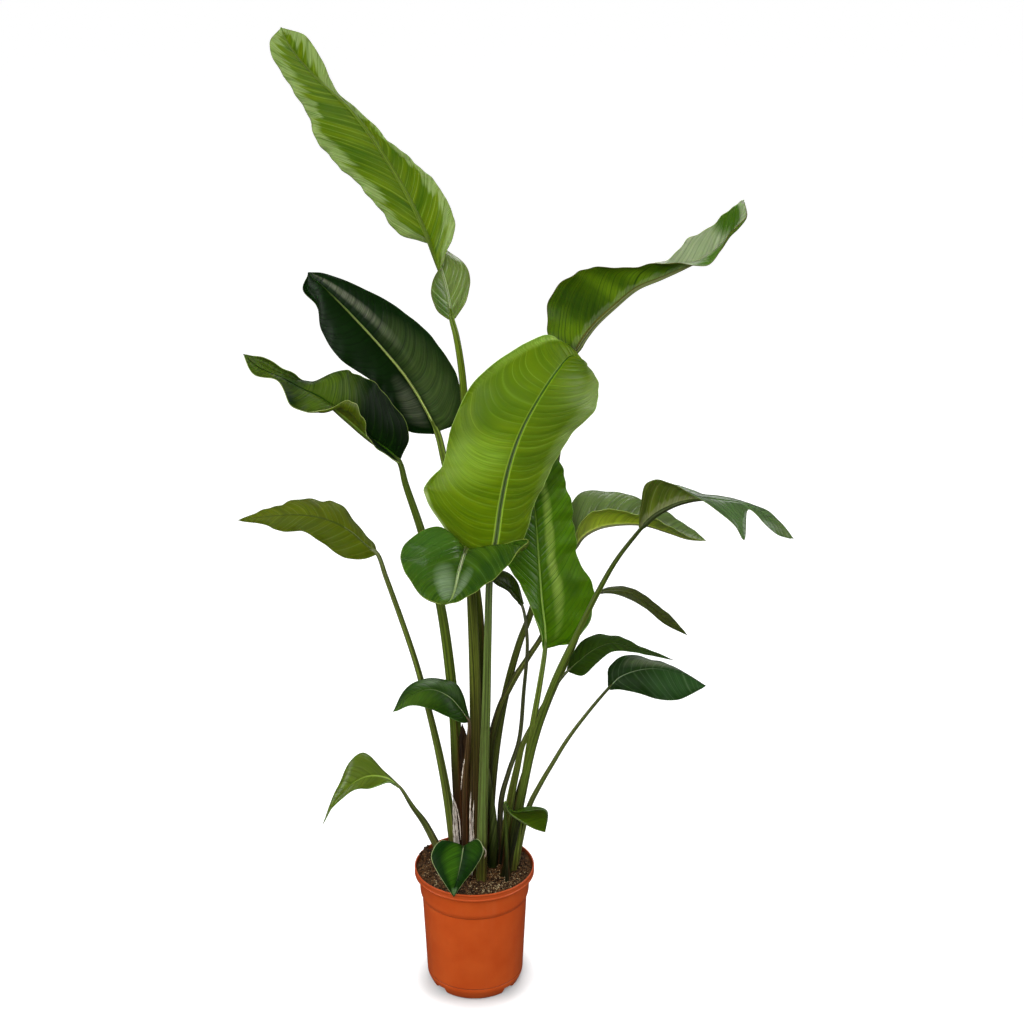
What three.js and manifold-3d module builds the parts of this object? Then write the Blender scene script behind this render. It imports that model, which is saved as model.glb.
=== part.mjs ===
// A potted bird of paradise: eighteen long-stalked leaves, a young spear and
// a few dry sheaths rising from the soil of a terracotta-coloured plastic pot.
// Millimetres, +Z up. The origin is the centre of the pot's underside, and the
// plant's show side faces -Y, with +X on the right of someone looking at it.

import * as THREE from 'three';
import { mergeVertices } from 'three/addons/utils/BufferGeometryUtils.js';
import Module from 'manifold-3d';

const wasm = await Module();
wasm.setup();

// ---------------------------------------------------------------- sizes

// Gap kept wherever one piece lies against the next.
const GAP = 0.35;

// Pot: a standard 21 cm growing pot with a stepped-out lip and a ring foot.
const RIM_RADIUS = 105;
const POT_HEIGHT = 228;
const WALL = 1.6;
const LIP_UNDERSIDE = 214.5;
const LIP_WALL = 3;
const LIP_LEDGE = 4.5;
const EDGE_ROUND = 1.5;
const NECK_RADIUS = 97;
const STEP_HEIGHT = 172;
const STEP_RADIUS = 92;
const STEP_OUT = 3.5;
const STEP_RISE = 8;
const CORNER_RADIUS = 85;
const CORNER_HEIGHT = 23;
const FOOT_RADIUS = 73;
const FOOT_WALL = 2.4;
const FLOOR_UNDERSIDE = 17;
const FLOOR_TOP = 19;
const CENTRE_PAD_RADIUS = 14;
const FOOT_CURVE = [[4, 2.5], [8, 10]];
const LIP_CHAMFER = 1;
const POT_SEGMENTS = 40;

// Drainage notches in the foot, as angles round the pot from its front.
const NOTCH_WIDTH = 30;
const NOTCH_HEIGHT = 14;
const NOTCH_REACH = 24;
const NOTCH_ANGLES = [50, 130, 230, 310];

// Soil, filled to just under the rim.
const SOIL_TOP = 219;
const SOIL_RINGS = [90, 74, 58, 40, 20, 0];
const SOIL_BUMP = 1.6;
const RIPPLE = { x: 0.13, y: 0.17, phase: 1 };
const SWELL = { x: 0.05, y: -0.09 };
const CLOD = { x: -84, y: 40, height: 13, spread: 11 };
const FOOT_DEPTH = 205;

// Leaves.
const BLADE_THICKNESS = 1.0;
const BLADE_CAMBER = 0.1;
const CREST = 0.55;
const ROWS_PER_SECTION = 2;
const KEEL_HALF_WIDTH = 6;
const KEEL_SHARE = 0.25;
const TIP_WIDTH = 1.5;
const SHEATH_FOOT_WIDTH = 2.5;
const STALK_SIDES = 8;
const STEPS_PER_SPAN = 2;

// Finishes.
const LEAF = { color: '#2f6b1c', roughness: 0.38 };
const STALK = { color: '#5d7427', roughness: 0.5 };
const YOUNG_LEAF = { color: '#6f8a2a', roughness: 0.5 };
const DRY_PAPER = { color: '#8f7554', roughness: 0.85 };
const TERRACOTTA = { color: '#c0592a', roughness: 0.5 };
const PEAT = { color: '#3d2c1e', roughness: 0.95 };

// Points of a geometry closer than this are one point.
const MERGE_DISTANCE = 1e-4;

// Each leaf: where its stalk enters the soil, the points the stalk passes
// through, the stalk's radius at foot and at blade, then the blade's cross
// sections from base to tip as [left margin, midrib, right margin], left and
// right as seen on the upper face. `width` is the blunt tip's half width.
const LEAVES = [
  {
    name: 'tall_left', foot: [-2, 34], radius: [9, 4.5],
    stalk: [[8, 36, 528], [2, 40, 713], [-7, 48, 925], [-14, 55, 1094], [-24, 58, 1167]],
    base: [-31, 60, 1195],
    sections: [
      [[-54, 52, 1213], [-35, 62, 1224], [-8, 58, 1227]],
      [[-61, 48, 1255], [-44, 66, 1264], [-5, 84, 1266]],
      [[-42, 44, 1296], [-54, 72, 1293], [-40, 106, 1299]],
      [[-27, 70, 1345], [-74, 84, 1338], [-109, 112, 1320]],
      [[-56, 105, 1404], [-115, 98, 1415], [-167, 122, 1388]],
      [[-130, 128, 1470], [-184, 120, 1512], [-240, 138, 1462]],
      [[-218, 146, 1554], [-233, 140, 1556], [-268, 154, 1525]],
      [[-241, 160, 1597], [-268, 156, 1590], [-301, 168, 1571]],
      [[-264, 172, 1627], [-292, 168, 1622], [-318, 177, 1617]],
    ],
    tip: [-301, 180, 1640], width: 6,
  },
  {
    name: 'dark_left', foot: [9, 8], radius: [9, 5.5],
    stalk: [[14, 14, 539], [8, 20, 721], [-17, 34, 859], [-43, 52, 946]],
    base: [-57, 62, 1003],
    sections: [
      [[-104, 48, 1011], [-77, 72, 1042], [-24, 54, 1025]],
      [[-127, 58, 1038], [-106, 86, 1087], [-22, 67, 1086]],
      [[-155, 78, 1079], [-149, 102, 1137], [-63, 80, 1156]],
      [[-217, 104, 1118], [-194, 122, 1182], [-124, 108, 1203]],
      [[-248, 126, 1160], [-227, 138, 1212], [-179, 130, 1228]],
      [[-256, 146, 1200], [-250, 150, 1231], [-220, 146, 1242]],
      [[-275, 160, 1222], [-264, 160, 1240], [-249, 160, 1247]],
    ],
    tip: [-271, 166, 1247], width: 4,
  },
  {
    name: 'lower_left', foot: [-20, 21], radius: [11.5, 4.3],
    stalk: [[-29, 18, 413], [-33, 15, 515], [-53, 6, 716], [-82, -6, 853], [-106, -14, 938]],
    base: [-116, -20, 981],
    sections: [
      [[-134, -40, 998], [-133, -26, 1000], [-101, -10, 1018]],
      [[-161, -68, 1035], [-160, -40, 1026], [-127, -12, 1079]],
      [[-184, -98, 1089], [-195, -58, 1065], [-168, -22, 1120]],
      [[-232, -110, 1090], [-229, -72, 1100], [-201, -36, 1135]],
      [[-273, -112, 1101], [-264, -84, 1123], [-250, -58, 1125]],
      [[-291, -112, 1141], [-289, -100, 1143], [-282, -84, 1142]],
      [[-328, -120, 1155], [-324, -112, 1164], [-319, -102, 1172]],
    ],
    tip: [-343, -120, 1186],
  },
  {
    name: 'front_large', foot: [12, -34], radius: [9.5, 5.5],
    stalk: [[18, -39, 424], [23, -44, 567], [26, -48, 679]],
    base: [32, -52, 822],
    sections: [
      [[-20, -34, 845], [40, -54, 858], [77, -34, 839]],
      [[-73, -30, 931], [48, -56, 918], [100, -30, 906]],
      [[-43, -24, 978], [61, -56, 983], [126, -26, 964]],
      [[-33, -14, 1026], [80, -50, 1039], [156, -18, 1019]],
      [[4, -6, 1099], [106, -38, 1087], [198, 2, 1061]],
      [[77, 10, 1154], [137, -12, 1128], [204, 34, 1094]],
      [[128, 26, 1172], [162, 32, 1141], [187, 64, 1120]],
      [[155, 54, 1152], [181, 60, 1120], [194, 86, 1099]],
    ],
    tip: [198, 98, 1082],
  },
  {
    name: 'behind_right', foot: [66, -4], radius: [7, 4],
    stalk: [[82, 0, 354], [100, 2, 488], [113, 4, 572]],
    base: [122, 10, 638],
    sections: [
      [[113, 4, 670], [122, 12, 666], [167, 4, 655]],
      [[91, 10, 731], [116, 24, 720], [204, 10, 726]],
      [[58, 26, 791], [111, 36, 787], [174, 26, 800]],
      [[39, 38, 861], [106, 48, 854], [167, 40, 859]],
      [[41, 50, 933], [99, 58, 921], [155, 52, 916]],
      [[59, 64, 989], [96, 68, 979], [137, 64, 967]],
    ],
    tip: [96, 80, 1032],
  },
  {
    name: 'cup', foot: [0, -16], radius: [11, 6],
    stalk: [[4, -16, 519], [1, -28, 707], [-3, -46, 799]],
    base: [-8, -70, 848],
    sections: [
      [[90, -74, 855], [-12, -92, 843], [-49, -66, 886]],
      [[64, -118, 848], [-18, -124, 832], [-101, -92, 867]],
      [[32, -160, 828], [-22, -160, 823], [-107, -140, 855]],
      [[-3, -196, 820], [-26, -196, 819], [-86, -184, 829]],
      [[-21, -220, 819], [-31, -214, 817], [-60, -212, 818]],
    ],
    tip: [-40, -226, 817],
  },
  {
    name: 'mid_left', foot: [-34, 38], radius: [8, 3.5],
    stalk: [[-47, 30, 338], [-59, 26, 422], [-75, 21, 509], [-98, 14, 614], [-143, 3, 770]],
    base: [-157, 0, 814],
    sections: [
      [[-177, -10, 809], [-175, 6, 827], [-164, 20, 820]],
      [[-210, 0, 807], [-202, 16, 847], [-191, 36, 851]],
      [[-245, 16, 824], [-234, 28, 860], [-224, 62, 876]],
      [[-279, 36, 839], [-268, 46, 862], [-262, 84, 877]],
      [[-318, 58, 831], [-307, 62, 858], [-315, 92, 868]],
      [[-352, 78, 836], [-348, 80, 848], [-351, 96, 854]],
    ],
    tip: [-398, 98, 835],
  },
  {
    name: 'small_left', foot: [-15, -3], radius: [8, 3],
    stalk: [[-14, -4, 307], [-13, -18, 417], [-8, -28, 481]],
    base: [-7, -30, 522],
    sections: [
      [[-17, -40, 524], [-20, -32, 544], [-12, -18, 543]],
      [[-43, -52, 542], [-40, -38, 571], [-28, -10, 580]],
      [[-71, -56, 558], [-71, -42, 586], [-72, -10, 590]],
      [[-102, -62, 567], [-104, -52, 578], [-110, -32, 584]],
    ],
    tip: [-132, -64, 555],
  },
  {
    name: 'low_left', foot: [-49, 26], radius: [7.5, 2.6],
    stalk: [[-86, 14, 299], [-107, -6, 346]],
    base: [-128, -20, 392],
    sections: [
      [[-146, -30, 405], [-148, -24, 410], [-152, -12, 415]],
      [[-176, -38, 400], [-178, -28, 416], [-188, -2, 446]],
      [[-202, -42, 398], [-202, -34, 408], [-211, -12, 434]],
      [[-226, -44, 380], [-223, -38, 389], [-228, -22, 402]],
      [[-242, -44, 363], [-240, -42, 368], [-241, -34, 377]],
    ],
    tip: [-258, -46, 333],
  },
  {
    name: 'heart', foot: [-15, -32], radius: [4, 2.5],
    stalk: [[-15, -36, 265]],
    base: [-17, -50, 292],
    sections: [
      [[6, -50, 304], [-18, -62, 292], [-54, -48, 301]],
      [[16, -70, 296], [-21, -80, 279], [-71, -72, 286]],
      [[3, -88, 274], [-26, -96, 261], [-60, -92, 266]],
      [[-19, -103, 250], [-31, -106, 244], [-46, -104, 248]],
    ],
    tip: [-33, -111, 229],
  },
  {
    name: 'tiny_right', foot: [58, -44], radius: [4, 2],
    stalk: [[56, -44, 320]],
    base: [54, -46, 376],
    sections: [
      [[68, -36, 353], [63, -46, 356], [64, -56, 364]],
      [[94, -28, 356], [81, -48, 342], [86, -64, 366]],
      [[126, -26, 347], [104, -52, 329], [121, -66, 370]],
    ],
    tip: [123, -54, 322],
  },
  {
    name: 'right_low', foot: [70, 12], radius: [5, 2.6],
    stalk: [[95, 2, 337], [116, -4, 389], [136, -8, 430], [161, -12, 478], [195, -16, 531]],
    base: [229, -20, 578],
    sections: [
      [[230, -4, 608], [247, -26, 601], [245, -34, 583]],
      [[264, -4, 631], [280, -34, 618], [276, -52, 585]],
      [[305, -22, 629], [313, -46, 625], [306, -70, 583]],
      [[339, -44, 626], [347, -62, 623], [338, -82, 587]],
    ],
    tip: [385, -84, 612],
  },
  {
    name: 'right_fold', foot: [50, 15], radius: [8.5, 2.2],
    stalk: [[57, 13, 290], [64, 12, 350], [75, 13, 410], [84, 15, 452], [104, 17, 496], [141, 19, 565]],
    base: [161, 20, 591],
    sections: [
      [[170, 46, 614], [180, 28, 606], [185, 6, 590]],
      [[206, 64, 636], [208, 44, 621], [211, 26, 605]],
      [[243, 74, 632], [239, 58, 626], [238, 44, 617]],
      [[281, 80, 612], [279, 70, 609], [281, 60, 607]],
    ],
    tip: [345, 84, 582],
  },
  {
    name: 'droop', foot: [62, 37], radius: [5, 2.6],
    stalk: [[75, 44, 330], [101, 52, 424], [132, 62, 516], [170, 76, 604], [193, 86, 664]],
    base: [212, 94, 705],
    sections: [
      [[237, 116, 705], [238, 104, 705], [239, 94, 703]],
      [[273, 136, 695], [272, 122, 692], [270, 112, 685]],
      [[309, 156, 664], [304, 142, 661], [299, 130, 660]],
      [[347, 176, 624], [341, 164, 622], [334, 154, 621]],
    ],
    tip: [379, 190, 582],
  },
  {
    name: 'right_torn', foot: [52, -20], radius: [8, 3.6],
    stalk: [
      [81, -24, 367], [103, -28, 481], [138, -32, 598],
      [175, -34, 687], [207, -35, 759], [237, -37, 818],
    ],
    base: [275, -40, 873],
    sections: [
      [[282, -16, 904], [285, -46, 889], [272, -64, 920]],
      [[294, -18, 936], [303, -56, 908], [280, -80, 964]],
      [[330, -34, 943], [334, -68, 928], [314, -94, 969]],
      [[373, -56, 937], [369, -80, 939], [367, -112, 944]],
      [[401, -66, 936], [398, -90, 939], [415, -128, 911]],
      [[424, -74, 933], [421, -96, 938], [430, -134, 890]],
      [[441, -80, 930], [437, -100, 934], [438, -106, 930]],
      [[466, -90, 923], [460, -104, 922], [460, -120, 915]],
      [[491, -100, 905], [486, -110, 906], [485, -120, 893]],
    ],
    tip: [510, -120, 885],
  },
  {
    name: 'right_back', foot: [32, 30], radius: [7, 3.5],
    stalk: [[26, 40, 411], [44, 46, 504], [71, 54, 562], [94, 61, 598], [119, 66, 639], [148, 68, 720]],
    base: [166, 70, 788],
    sections: [
      [[162, 100, 849], [183, 78, 813], [175, 60, 828]],
      [[185, 128, 873], [209, 90, 825], [196, 58, 863]],
      [[230, 146, 869], [244, 104, 827], [232, 68, 864]],
      [[286, 160, 851], [290, 120, 820], [283, 86, 849]],
      [[340, 170, 818], [335, 138, 799], [331, 108, 823]],
      [[376, 174, 792], [371, 154, 780], [365, 136, 792]],
    ],
    tip: [404, 170, 770],
  },
  {
    name: 'upper_right', foot: [24, 52], radius: [8.5, 4.5],
    stalk: [
      [29, 58, 332], [41, 62, 448], [58, 66, 543], [78, 70, 620],
      [100, 75, 683], [122, 82, 805], [143, 88, 964],
    ],
    base: [168, 92, 1128],
    sections: [
      [[145, 114, 1154], [178, 94, 1149], [126, 72, 1163]],
      [[155, 128, 1196], [200, 98, 1178], [126, 66, 1217]],
      [[191, 138, 1232], [230, 104, 1205], [159, 68, 1264]],
      [[233, 146, 1253], [268, 110, 1235], [210, 80, 1274]],
      [[285, 152, 1257], [307, 116, 1250], [272, 92, 1273]],
      [[331, 152, 1280], [346, 122, 1266], [337, 98, 1278]],
      [[362, 154, 1308], [382, 128, 1283], [383, 106, 1273]],
      [[401, 156, 1333], [413, 136, 1307], [414, 118, 1311]],
      [[429, 160, 1358], [437, 146, 1340], [445, 138, 1341]],
    ],
    tip: [443, 158, 1369],
  },
  {
    name: 'dark_back', foot: [45, 33], radius: [5, 2.6],
    stalk: [[47, 30, 338], [60, 31, 392], [78, 33, 452], [86, 38, 540], [92, 46, 637]],
    base: [83, 56, 697],
    sections: [
      [[73, 48, 710], [71, 64, 714], [75, 74, 730]],
      [[57, 72, 718], [52, 82, 727], [59, 92, 741]],
      [[39, 98, 718], [33, 104, 729], [38, 112, 737]],
    ],
    tip: [14, 128, 727],
  },
];

// The youngest leaf is still a rolled spear.
const SHOOT = {
  foot: [31, 5], radius: [10, 1.2],
  stalk: [[34, 6, 300], [31, 6, 350]], base: [26, 4, 412],
};

// Dry, papery remains of old sheaths round the foot of the clump.
const DRY_SHEATHS = [
  {
    name: 'dry_sheath_left', base: [-30, 3, FOOT_DEPTH],
    sections: [
      [[-36, 6, 235], [-31, 2, 235], [-25, 4, 235]],
      [[-38, 8, 290], [-33, 4, 290], [-27, 5, 292]],
    ],
    tip: [-37, 3, 352],
  },
  {
    name: 'dry_sheath_middle', base: [-14, 8, FOOT_DEPTH],
    sections: [
      [[-24, 8.5, 240], [-14, 7, 240], [-4, 8, 240]],
      [[-24, 9, 320], [-13, 7, 320], [-3, 8, 320]],
      [[-26, 8, 400], [-15, 6, 400], [-5, 7, 400]],
      [[-26, 7, 470], [-18, 5, 470], [-9, 5, 470]],
    ],
    tip: [-19, 4, 500],
  },
  {
    name: 'dry_sheath_right', base: [-6, -28, FOOT_DEPTH],
    sections: [
      [[-9, -26, 235], [-6, -28.5, 235], [-1.5, -28, 235]],
      [[-8, -28, 290], [-5, -30, 290], [-1, -30, 290]],
    ],
    tip: [-4, -31, 350],
  },
];

// -------------------------------------------------------------- helpers

const vector = (point) => new THREE.Vector3(...point);
const curve = (points) => new THREE.CatmullRomCurve3(points, false, 'centripetal');

// A closed solid from points and triangles that share them.
function solidFrom(points, triangles) {
  const vertProperties = new Float32Array(points.flatMap((p) => [p.x, p.y, p.z]));
  const triVerts = new Uint32Array(triangles.flat());
  return new wasm.Manifold(new wasm.Mesh({ numProp: 3, vertProperties, triVerts }));
}

// A closed solid from a three.js geometry whose seams are still open.
function solidFromGeometry(geometry) {
  geometry.deleteAttribute('normal');
  geometry.deleteAttribute('uv');
  const merged = mergeVertices(geometry, MERGE_DISTANCE);
  const position = merged.getAttribute('position');
  const points = [];
  for (let i = 0; i < position.count; i += 1) {
    points.push(new THREE.Vector3().fromBufferAttribute(position, i));
  }
  const index = merged.getIndex().array;
  const triangles = [];
  for (let i = 0; i < index.length; i += 3) {
    const [a, b, c] = index.slice(i, i + 3);
    if (a !== b && b !== c && c !== a) triangles.push([a, b, c]);
  }
  return solidFrom(points, triangles);
}

function largestPiece(solid) {
  const pieces = solid.decompose();
  return pieces.reduce((best, piece) => (piece.volume() > best.volume() ? piece : best));
}

function meshFrom(name, solid, finish) {
  const { vertProperties, triVerts } = solid.getMesh();
  const geometry = new THREE.BufferGeometry();
  geometry.setAttribute('position', new THREE.BufferAttribute(vertProperties, 3));
  geometry.setIndex(new THREE.BufferAttribute(triVerts, 1));
  geometry.computeVertexNormals();
  const material = new THREE.MeshStandardMaterial({ ...finish, metalness: 0 });
  const mesh = new THREE.Mesh(geometry, material);
  mesh.name = name;
  return mesh;
}

// --------------------------------------------------------------- stalks

// A stalk runs from below the soil to the blade, and its curve is drawn on
// into the midrib, so that the two meet in line.
function stalkPath(leaf) {
  const foot = vector([...leaf.foot, FOOT_DEPTH]);
  const points = [foot, ...leaf.stalk.map(vector), vector(leaf.base)];
  const spans = points.length - 1;
  if (leaf.sections) points.push(vector(leaf.sections[0][1]));
  return { path: curve(points), spans, end: spans / (points.length - 1) };
}

// A round, tapering tube with flat ends. `grow` thickens it, and lengthens it
// by as much at either end, which makes the hole it stands in.
function stalkSolid(leaf, grow = 0) {
  const { path, spans, end } = stalkPath(leaf);
  const steps = spans * STEPS_PER_SPAN;
  const points = [];
  const triangles = [];
  for (let i = 0; i <= steps; i += 1) {
    const fraction = i / steps;
    const centre = path.getPoint(fraction * end);
    const along = path.getTangent(fraction * end);
    if (i === 0) centre.addScaledVector(along, -grow);
    if (i === steps) centre.addScaledVector(along, grow);
    const side = new THREE.Vector3(0, 1, 0).cross(along).normalize();
    const front = along.clone().cross(side);
    const radius = THREE.MathUtils.lerp(leaf.radius[0], leaf.radius[1], fraction) + grow;
    for (let k = 0; k < STALK_SIDES; k += 1) {
      const angle = ((k + 0.5) / STALK_SIDES) * 2 * Math.PI;
      points.push(centre.clone()
        .addScaledVector(side, radius * Math.cos(angle))
        .addScaledVector(front, radius * Math.sin(angle)));
    }
  }
  for (let i = 0; i < steps; i += 1) {
    for (let k = 0; k < STALK_SIDES; k += 1) {
      const a = i * STALK_SIDES + k;
      const b = i * STALK_SIDES + ((k + 1) % STALK_SIDES);
      triangles.push([a, b, b + STALK_SIDES], [a, b + STALK_SIDES, a + STALK_SIDES]);
    }
  }
  const last = steps * STALK_SIDES;
  for (let k = 1; k < STALK_SIDES - 1; k += 1) {
    triangles.push([0, k + 1, k], [last, last + k, last + k + 1]);
  }
  return solidFrom(points, triangles);
}

// --------------------------------------------------------------- blades

// The three curves that a blade hangs between: both margins and the midrib.
function bladeCurves(leaf) {
  const rib = [vector(leaf.base), ...leaf.sections.map((s) => vector(s[1])), vector(leaf.tip)];
  const path = curve(rib);
  const neck = leaf.radius ? leaf.radius[1] + GAP : SHEATH_FOOT_WIDTH;
  const point = leaf.width ?? TIP_WIDTH;
  const margin = (side) => {
    const outer = leaf.sections.map((section) => vector(section[side]));
    const sideways = outer[0].clone().sub(rib[0]);
    sideways.addScaledVector(path.getTangent(0), -sideways.dot(path.getTangent(0)));
    const first = rib[0].clone().addScaledVector(sideways.normalize(), neck);
    const end = rib[rib.length - 1];
    const inward = outer[outer.length - 1].clone().sub(end).normalize();
    return curve([first, ...outer, end.clone().addScaledVector(inward, point)]);
  };
  return { path, left: margin(0), right: margin(2), spans: rib.length - 1 };
}

// Points of the blade's middle surface: rows from base to tip, and columns
// from the left margin over the midrib to the right one. Each half arches by
// BLADE_CAMBER of its width between midrib and margin.
function bladeGrid(leaf) {
  const { path, left, right, spans } = bladeCurves(leaf);
  const rows = spans * ROWS_PER_SECTION;
  const grid = [];
  for (let i = 0; i <= rows; i += 1) {
    const t = i / rows;
    const centre = path.getPoint(t);
    const along = path.getTangent(t);
    const row = [];
    for (const [edge, sign] of [[left, -1], [right, 1]]) {
      const reach = edge.getPoint(t).sub(centre);
      const width = reach.length();
      const up = reach.clone().multiplyScalar(sign).cross(along).normalize();
      const keel = Math.min(KEEL_SHARE, KEEL_HALF_WIDTH / width);
      const columns = sign < 0 ? [1, CREST, keel] : [0, keel, CREST, 1];
      for (const across of columns) {
        row.push(centre.clone()
          .addScaledVector(reach, across)
          .addScaledVector(up, width * BLADE_CAMBER * 4 * across * (1 - across)));
      }
    }
    grid.push(row);
  }
  return grid;
}

// The blade's two faces lie half the thickness either side of the grid, cut
// into the same triangles, and the midrib stands out below as a keel that
// runs out towards the tip.
function bladeSolid(leaf) {
  const grid = bladeGrid(leaf);
  const rows = grid.length;
  const columns = grid[0].length;
  const middle = (columns - 1) / 2;
  const inside = (index, count) => Math.min(Math.max(index, 0), count - 1);
  const at = (i, j) => grid[inside(i, rows)][inside(j, columns)];
  const keelDepth = leaf.radius ? leaf.radius[1] : 0;
  const upper = [];
  const lower = [];
  for (let i = 0; i < rows; i += 1) {
    for (let j = 0; j < columns; j += 1) {
      const along = at(i + 1, j).clone().sub(at(i - 1, j));
      const across = at(i, j + 1).clone().sub(at(i, j - 1));
      const normal = across.cross(along).normalize();
      const keel = j === middle ? keelDepth * (1 - i / (rows - 1)) : 0;
      upper.push(grid[i][j].clone().addScaledVector(normal, BLADE_THICKNESS / 2));
      lower.push(grid[i][j].clone().addScaledVector(normal, -BLADE_THICKNESS / 2 - keel));
    }
  }
  const below = rows * columns;
  const triangles = [];
  for (let i = 0; i < rows - 1; i += 1) {
    for (let j = 0; j < columns - 1; j += 1) {
      const a = i * columns + j;
      const b = a + 1;
      const c = a + columns;
      const d = c + 1;
      triangles.push([a, b, d], [a, d, c]);
      triangles.push([below + a, below + d, below + b], [below + a, below + c, below + d]);
    }
  }
  const outline = [];
  for (let j = 0; j < columns - 1; j += 1) outline.push(j);
  for (let i = 0; i < rows - 1; i += 1) outline.push(i * columns + columns - 1);
  for (let j = columns - 1; j > 0; j -= 1) outline.push((rows - 1) * columns + j);
  for (let i = rows - 1; i > 0; i -= 1) outline.push(i * columns);
  outline.forEach((a, k) => {
    const b = outline[(k + 1) % outline.length];
    triangles.push([a, below + a, below + b], [a, below + b, b]);
  });
  return solidFrom([...upper, ...lower], triangles);
}

// ------------------------------------------------------------------ pot

// Radius of the outer wall below the step, at height z.
function wallRadius(z) {
  const rise = (z - CORNER_HEIGHT) / (STEP_HEIGHT - CORNER_HEIGHT);
  return THREE.MathUtils.lerp(CORNER_RADIUS, STEP_RADIUS, rise);
}

function turned(profile) {
  const points = profile.map(([radius, z]) => new THREE.Vector2(radius, z));
  return new THREE.LatheGeometry(points, POT_SEGMENTS).rotateX(Math.PI / 2);
}

// One thin moulded shell: a raised floor with a centre pad, a rounded corner
// that runs down into the foot, a tapering wall, a collar stepped out over it
// and a lip stepped out over that.
function potSolid() {
  const inner = (z) => [wallRadius(z) - WALL, z];
  const underside = [
    [0, 0], [CENTRE_PAD_RADIUS, 0], [CENTRE_PAD_RADIUS + 1, FLOOR_UNDERSIDE],
    [CORNER_RADIUS - 2 * FOOT_WALL, FLOOR_UNDERSIDE],
    [CORNER_RADIUS - 3 * FOOT_WALL, FLOOR_UNDERSIDE / 2], [FOOT_RADIUS - FOOT_WALL, 0],
  ];
  const outside = [
    [FOOT_RADIUS, 0], ...FOOT_CURVE.map(([out, z]) => [FOOT_RADIUS + out, z]),
    [CORNER_RADIUS, CORNER_HEIGHT], [STEP_RADIUS, STEP_HEIGHT],
    [STEP_RADIUS + STEP_OUT, STEP_HEIGHT + STEP_RISE], [NECK_RADIUS, LIP_UNDERSIDE],
  ];
  const lip = [
    [RIM_RADIUS - EDGE_ROUND, LIP_UNDERSIDE], [RIM_RADIUS, LIP_UNDERSIDE + LIP_WALL],
    [RIM_RADIUS, POT_HEIGHT - LIP_WALL], [RIM_RADIUS - LIP_CHAMFER, POT_HEIGHT],
    [RIM_RADIUS - LIP_WALL + LIP_CHAMFER, POT_HEIGHT],
    [RIM_RADIUS - LIP_WALL, LIP_UNDERSIDE + LIP_WALL],
    [RIM_RADIUS - LIP_LEDGE, LIP_UNDERSIDE + WALL],
  ];
  const inside = [
    [NECK_RADIUS - WALL, LIP_UNDERSIDE + WALL],
    [STEP_RADIUS + STEP_OUT - WALL, STEP_HEIGHT + STEP_RISE], inner(STEP_HEIGHT),
    inner(CORNER_HEIGHT), [CORNER_RADIUS - 2 * FOOT_WALL, FLOOR_TOP], [0, FLOOR_TOP],
  ];
  const shell = solidFromGeometry(turned([...underside, ...outside, ...lip, ...inside]));
  return NOTCH_ANGLES.reduce((body, degrees) => {
    const notch = new THREE.BoxGeometry(NOTCH_REACH, NOTCH_WIDTH, 2 * NOTCH_HEIGHT)
      .translate(FOOT_RADIUS, 0, 0)
      .rotateZ(THREE.MathUtils.degToRad(degrees - 90));
    return body.subtract(solidFromGeometry(notch));
  }, shell);
}

// Height of the soil's surface: low ripples, and the clod as a rounded bump.
function soilHeight(x, y) {
  const ripple = Math.sin(x * RIPPLE.x + RIPPLE.phase) * Math.cos(y * RIPPLE.y);
  const swell = Math.sin(x * SWELL.x + y * SWELL.y);
  const away = Math.hypot(x - CLOD.x, y - CLOD.y) / CLOD.spread;
  return SOIL_TOP + SOIL_BUMP * (ripple + swell) + CLOD.height * Math.exp(-away * away);
}

// Peat that fills the pot, uneven on top, with a clod against the back of the
// rim, and a plain hole for every stalk.
function soilSolid(holes) {
  const inner = (z) => [wallRadius(z) - WALL - GAP, z];
  const ledge = LIP_UNDERSIDE + WALL + GAP;
  const edge = RIM_RADIUS - LIP_LEDGE - GAP;
  const geometry = turned([
    [0, FLOOR_TOP + GAP], [CORNER_RADIUS - 2 * FOOT_WALL - GAP, FLOOR_TOP + GAP],
    inner(CORNER_HEIGHT), inner(STEP_HEIGHT),
    [STEP_RADIUS + STEP_OUT - WALL - 2 * GAP, STEP_HEIGHT + STEP_RISE],
    [NECK_RADIUS - WALL - 2 * GAP, ledge],
    [edge, ledge], [edge, SOIL_TOP], ...SOIL_RINGS.map((radius) => [radius, SOIL_TOP]),
  ]);
  const position = geometry.getAttribute('position');
  for (let i = 0; i < position.count; i += 1) {
    const onTop = position.getZ(i) > ledge + GAP;
    if (onTop) position.setZ(i, soilHeight(position.getX(i), position.getY(i)));
  }
  return holes.reduce((soil, hole) => soil.subtract(hole), solidFromGeometry(geometry));
}

// ------------------------------------------------------------- assembly

const group = new THREE.Group();
const stalks = [...LEAVES, SHOOT];

group.add(meshFrom('pot', potSolid(), TERRACOTTA));

const stalkHoles = stalks.map((leaf) => stalkSolid(leaf, GAP));
const soil = largestPiece(soilSolid(stalkHoles));
group.add(meshFrom('soil', soil, PEAT));

LEAVES.forEach((leaf, k) => {
  const blade = largestPiece(bladeSolid(leaf).subtract(stalkHoles[k]));
  group.add(meshFrom(`stalk_${leaf.name}`, stalkSolid(leaf), STALK));
  group.add(meshFrom(`blade_${leaf.name}`, blade, LEAF));
});

group.add(meshFrom('new_shoot', stalkSolid(SHOOT), YOUNG_LEAF));

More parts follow.
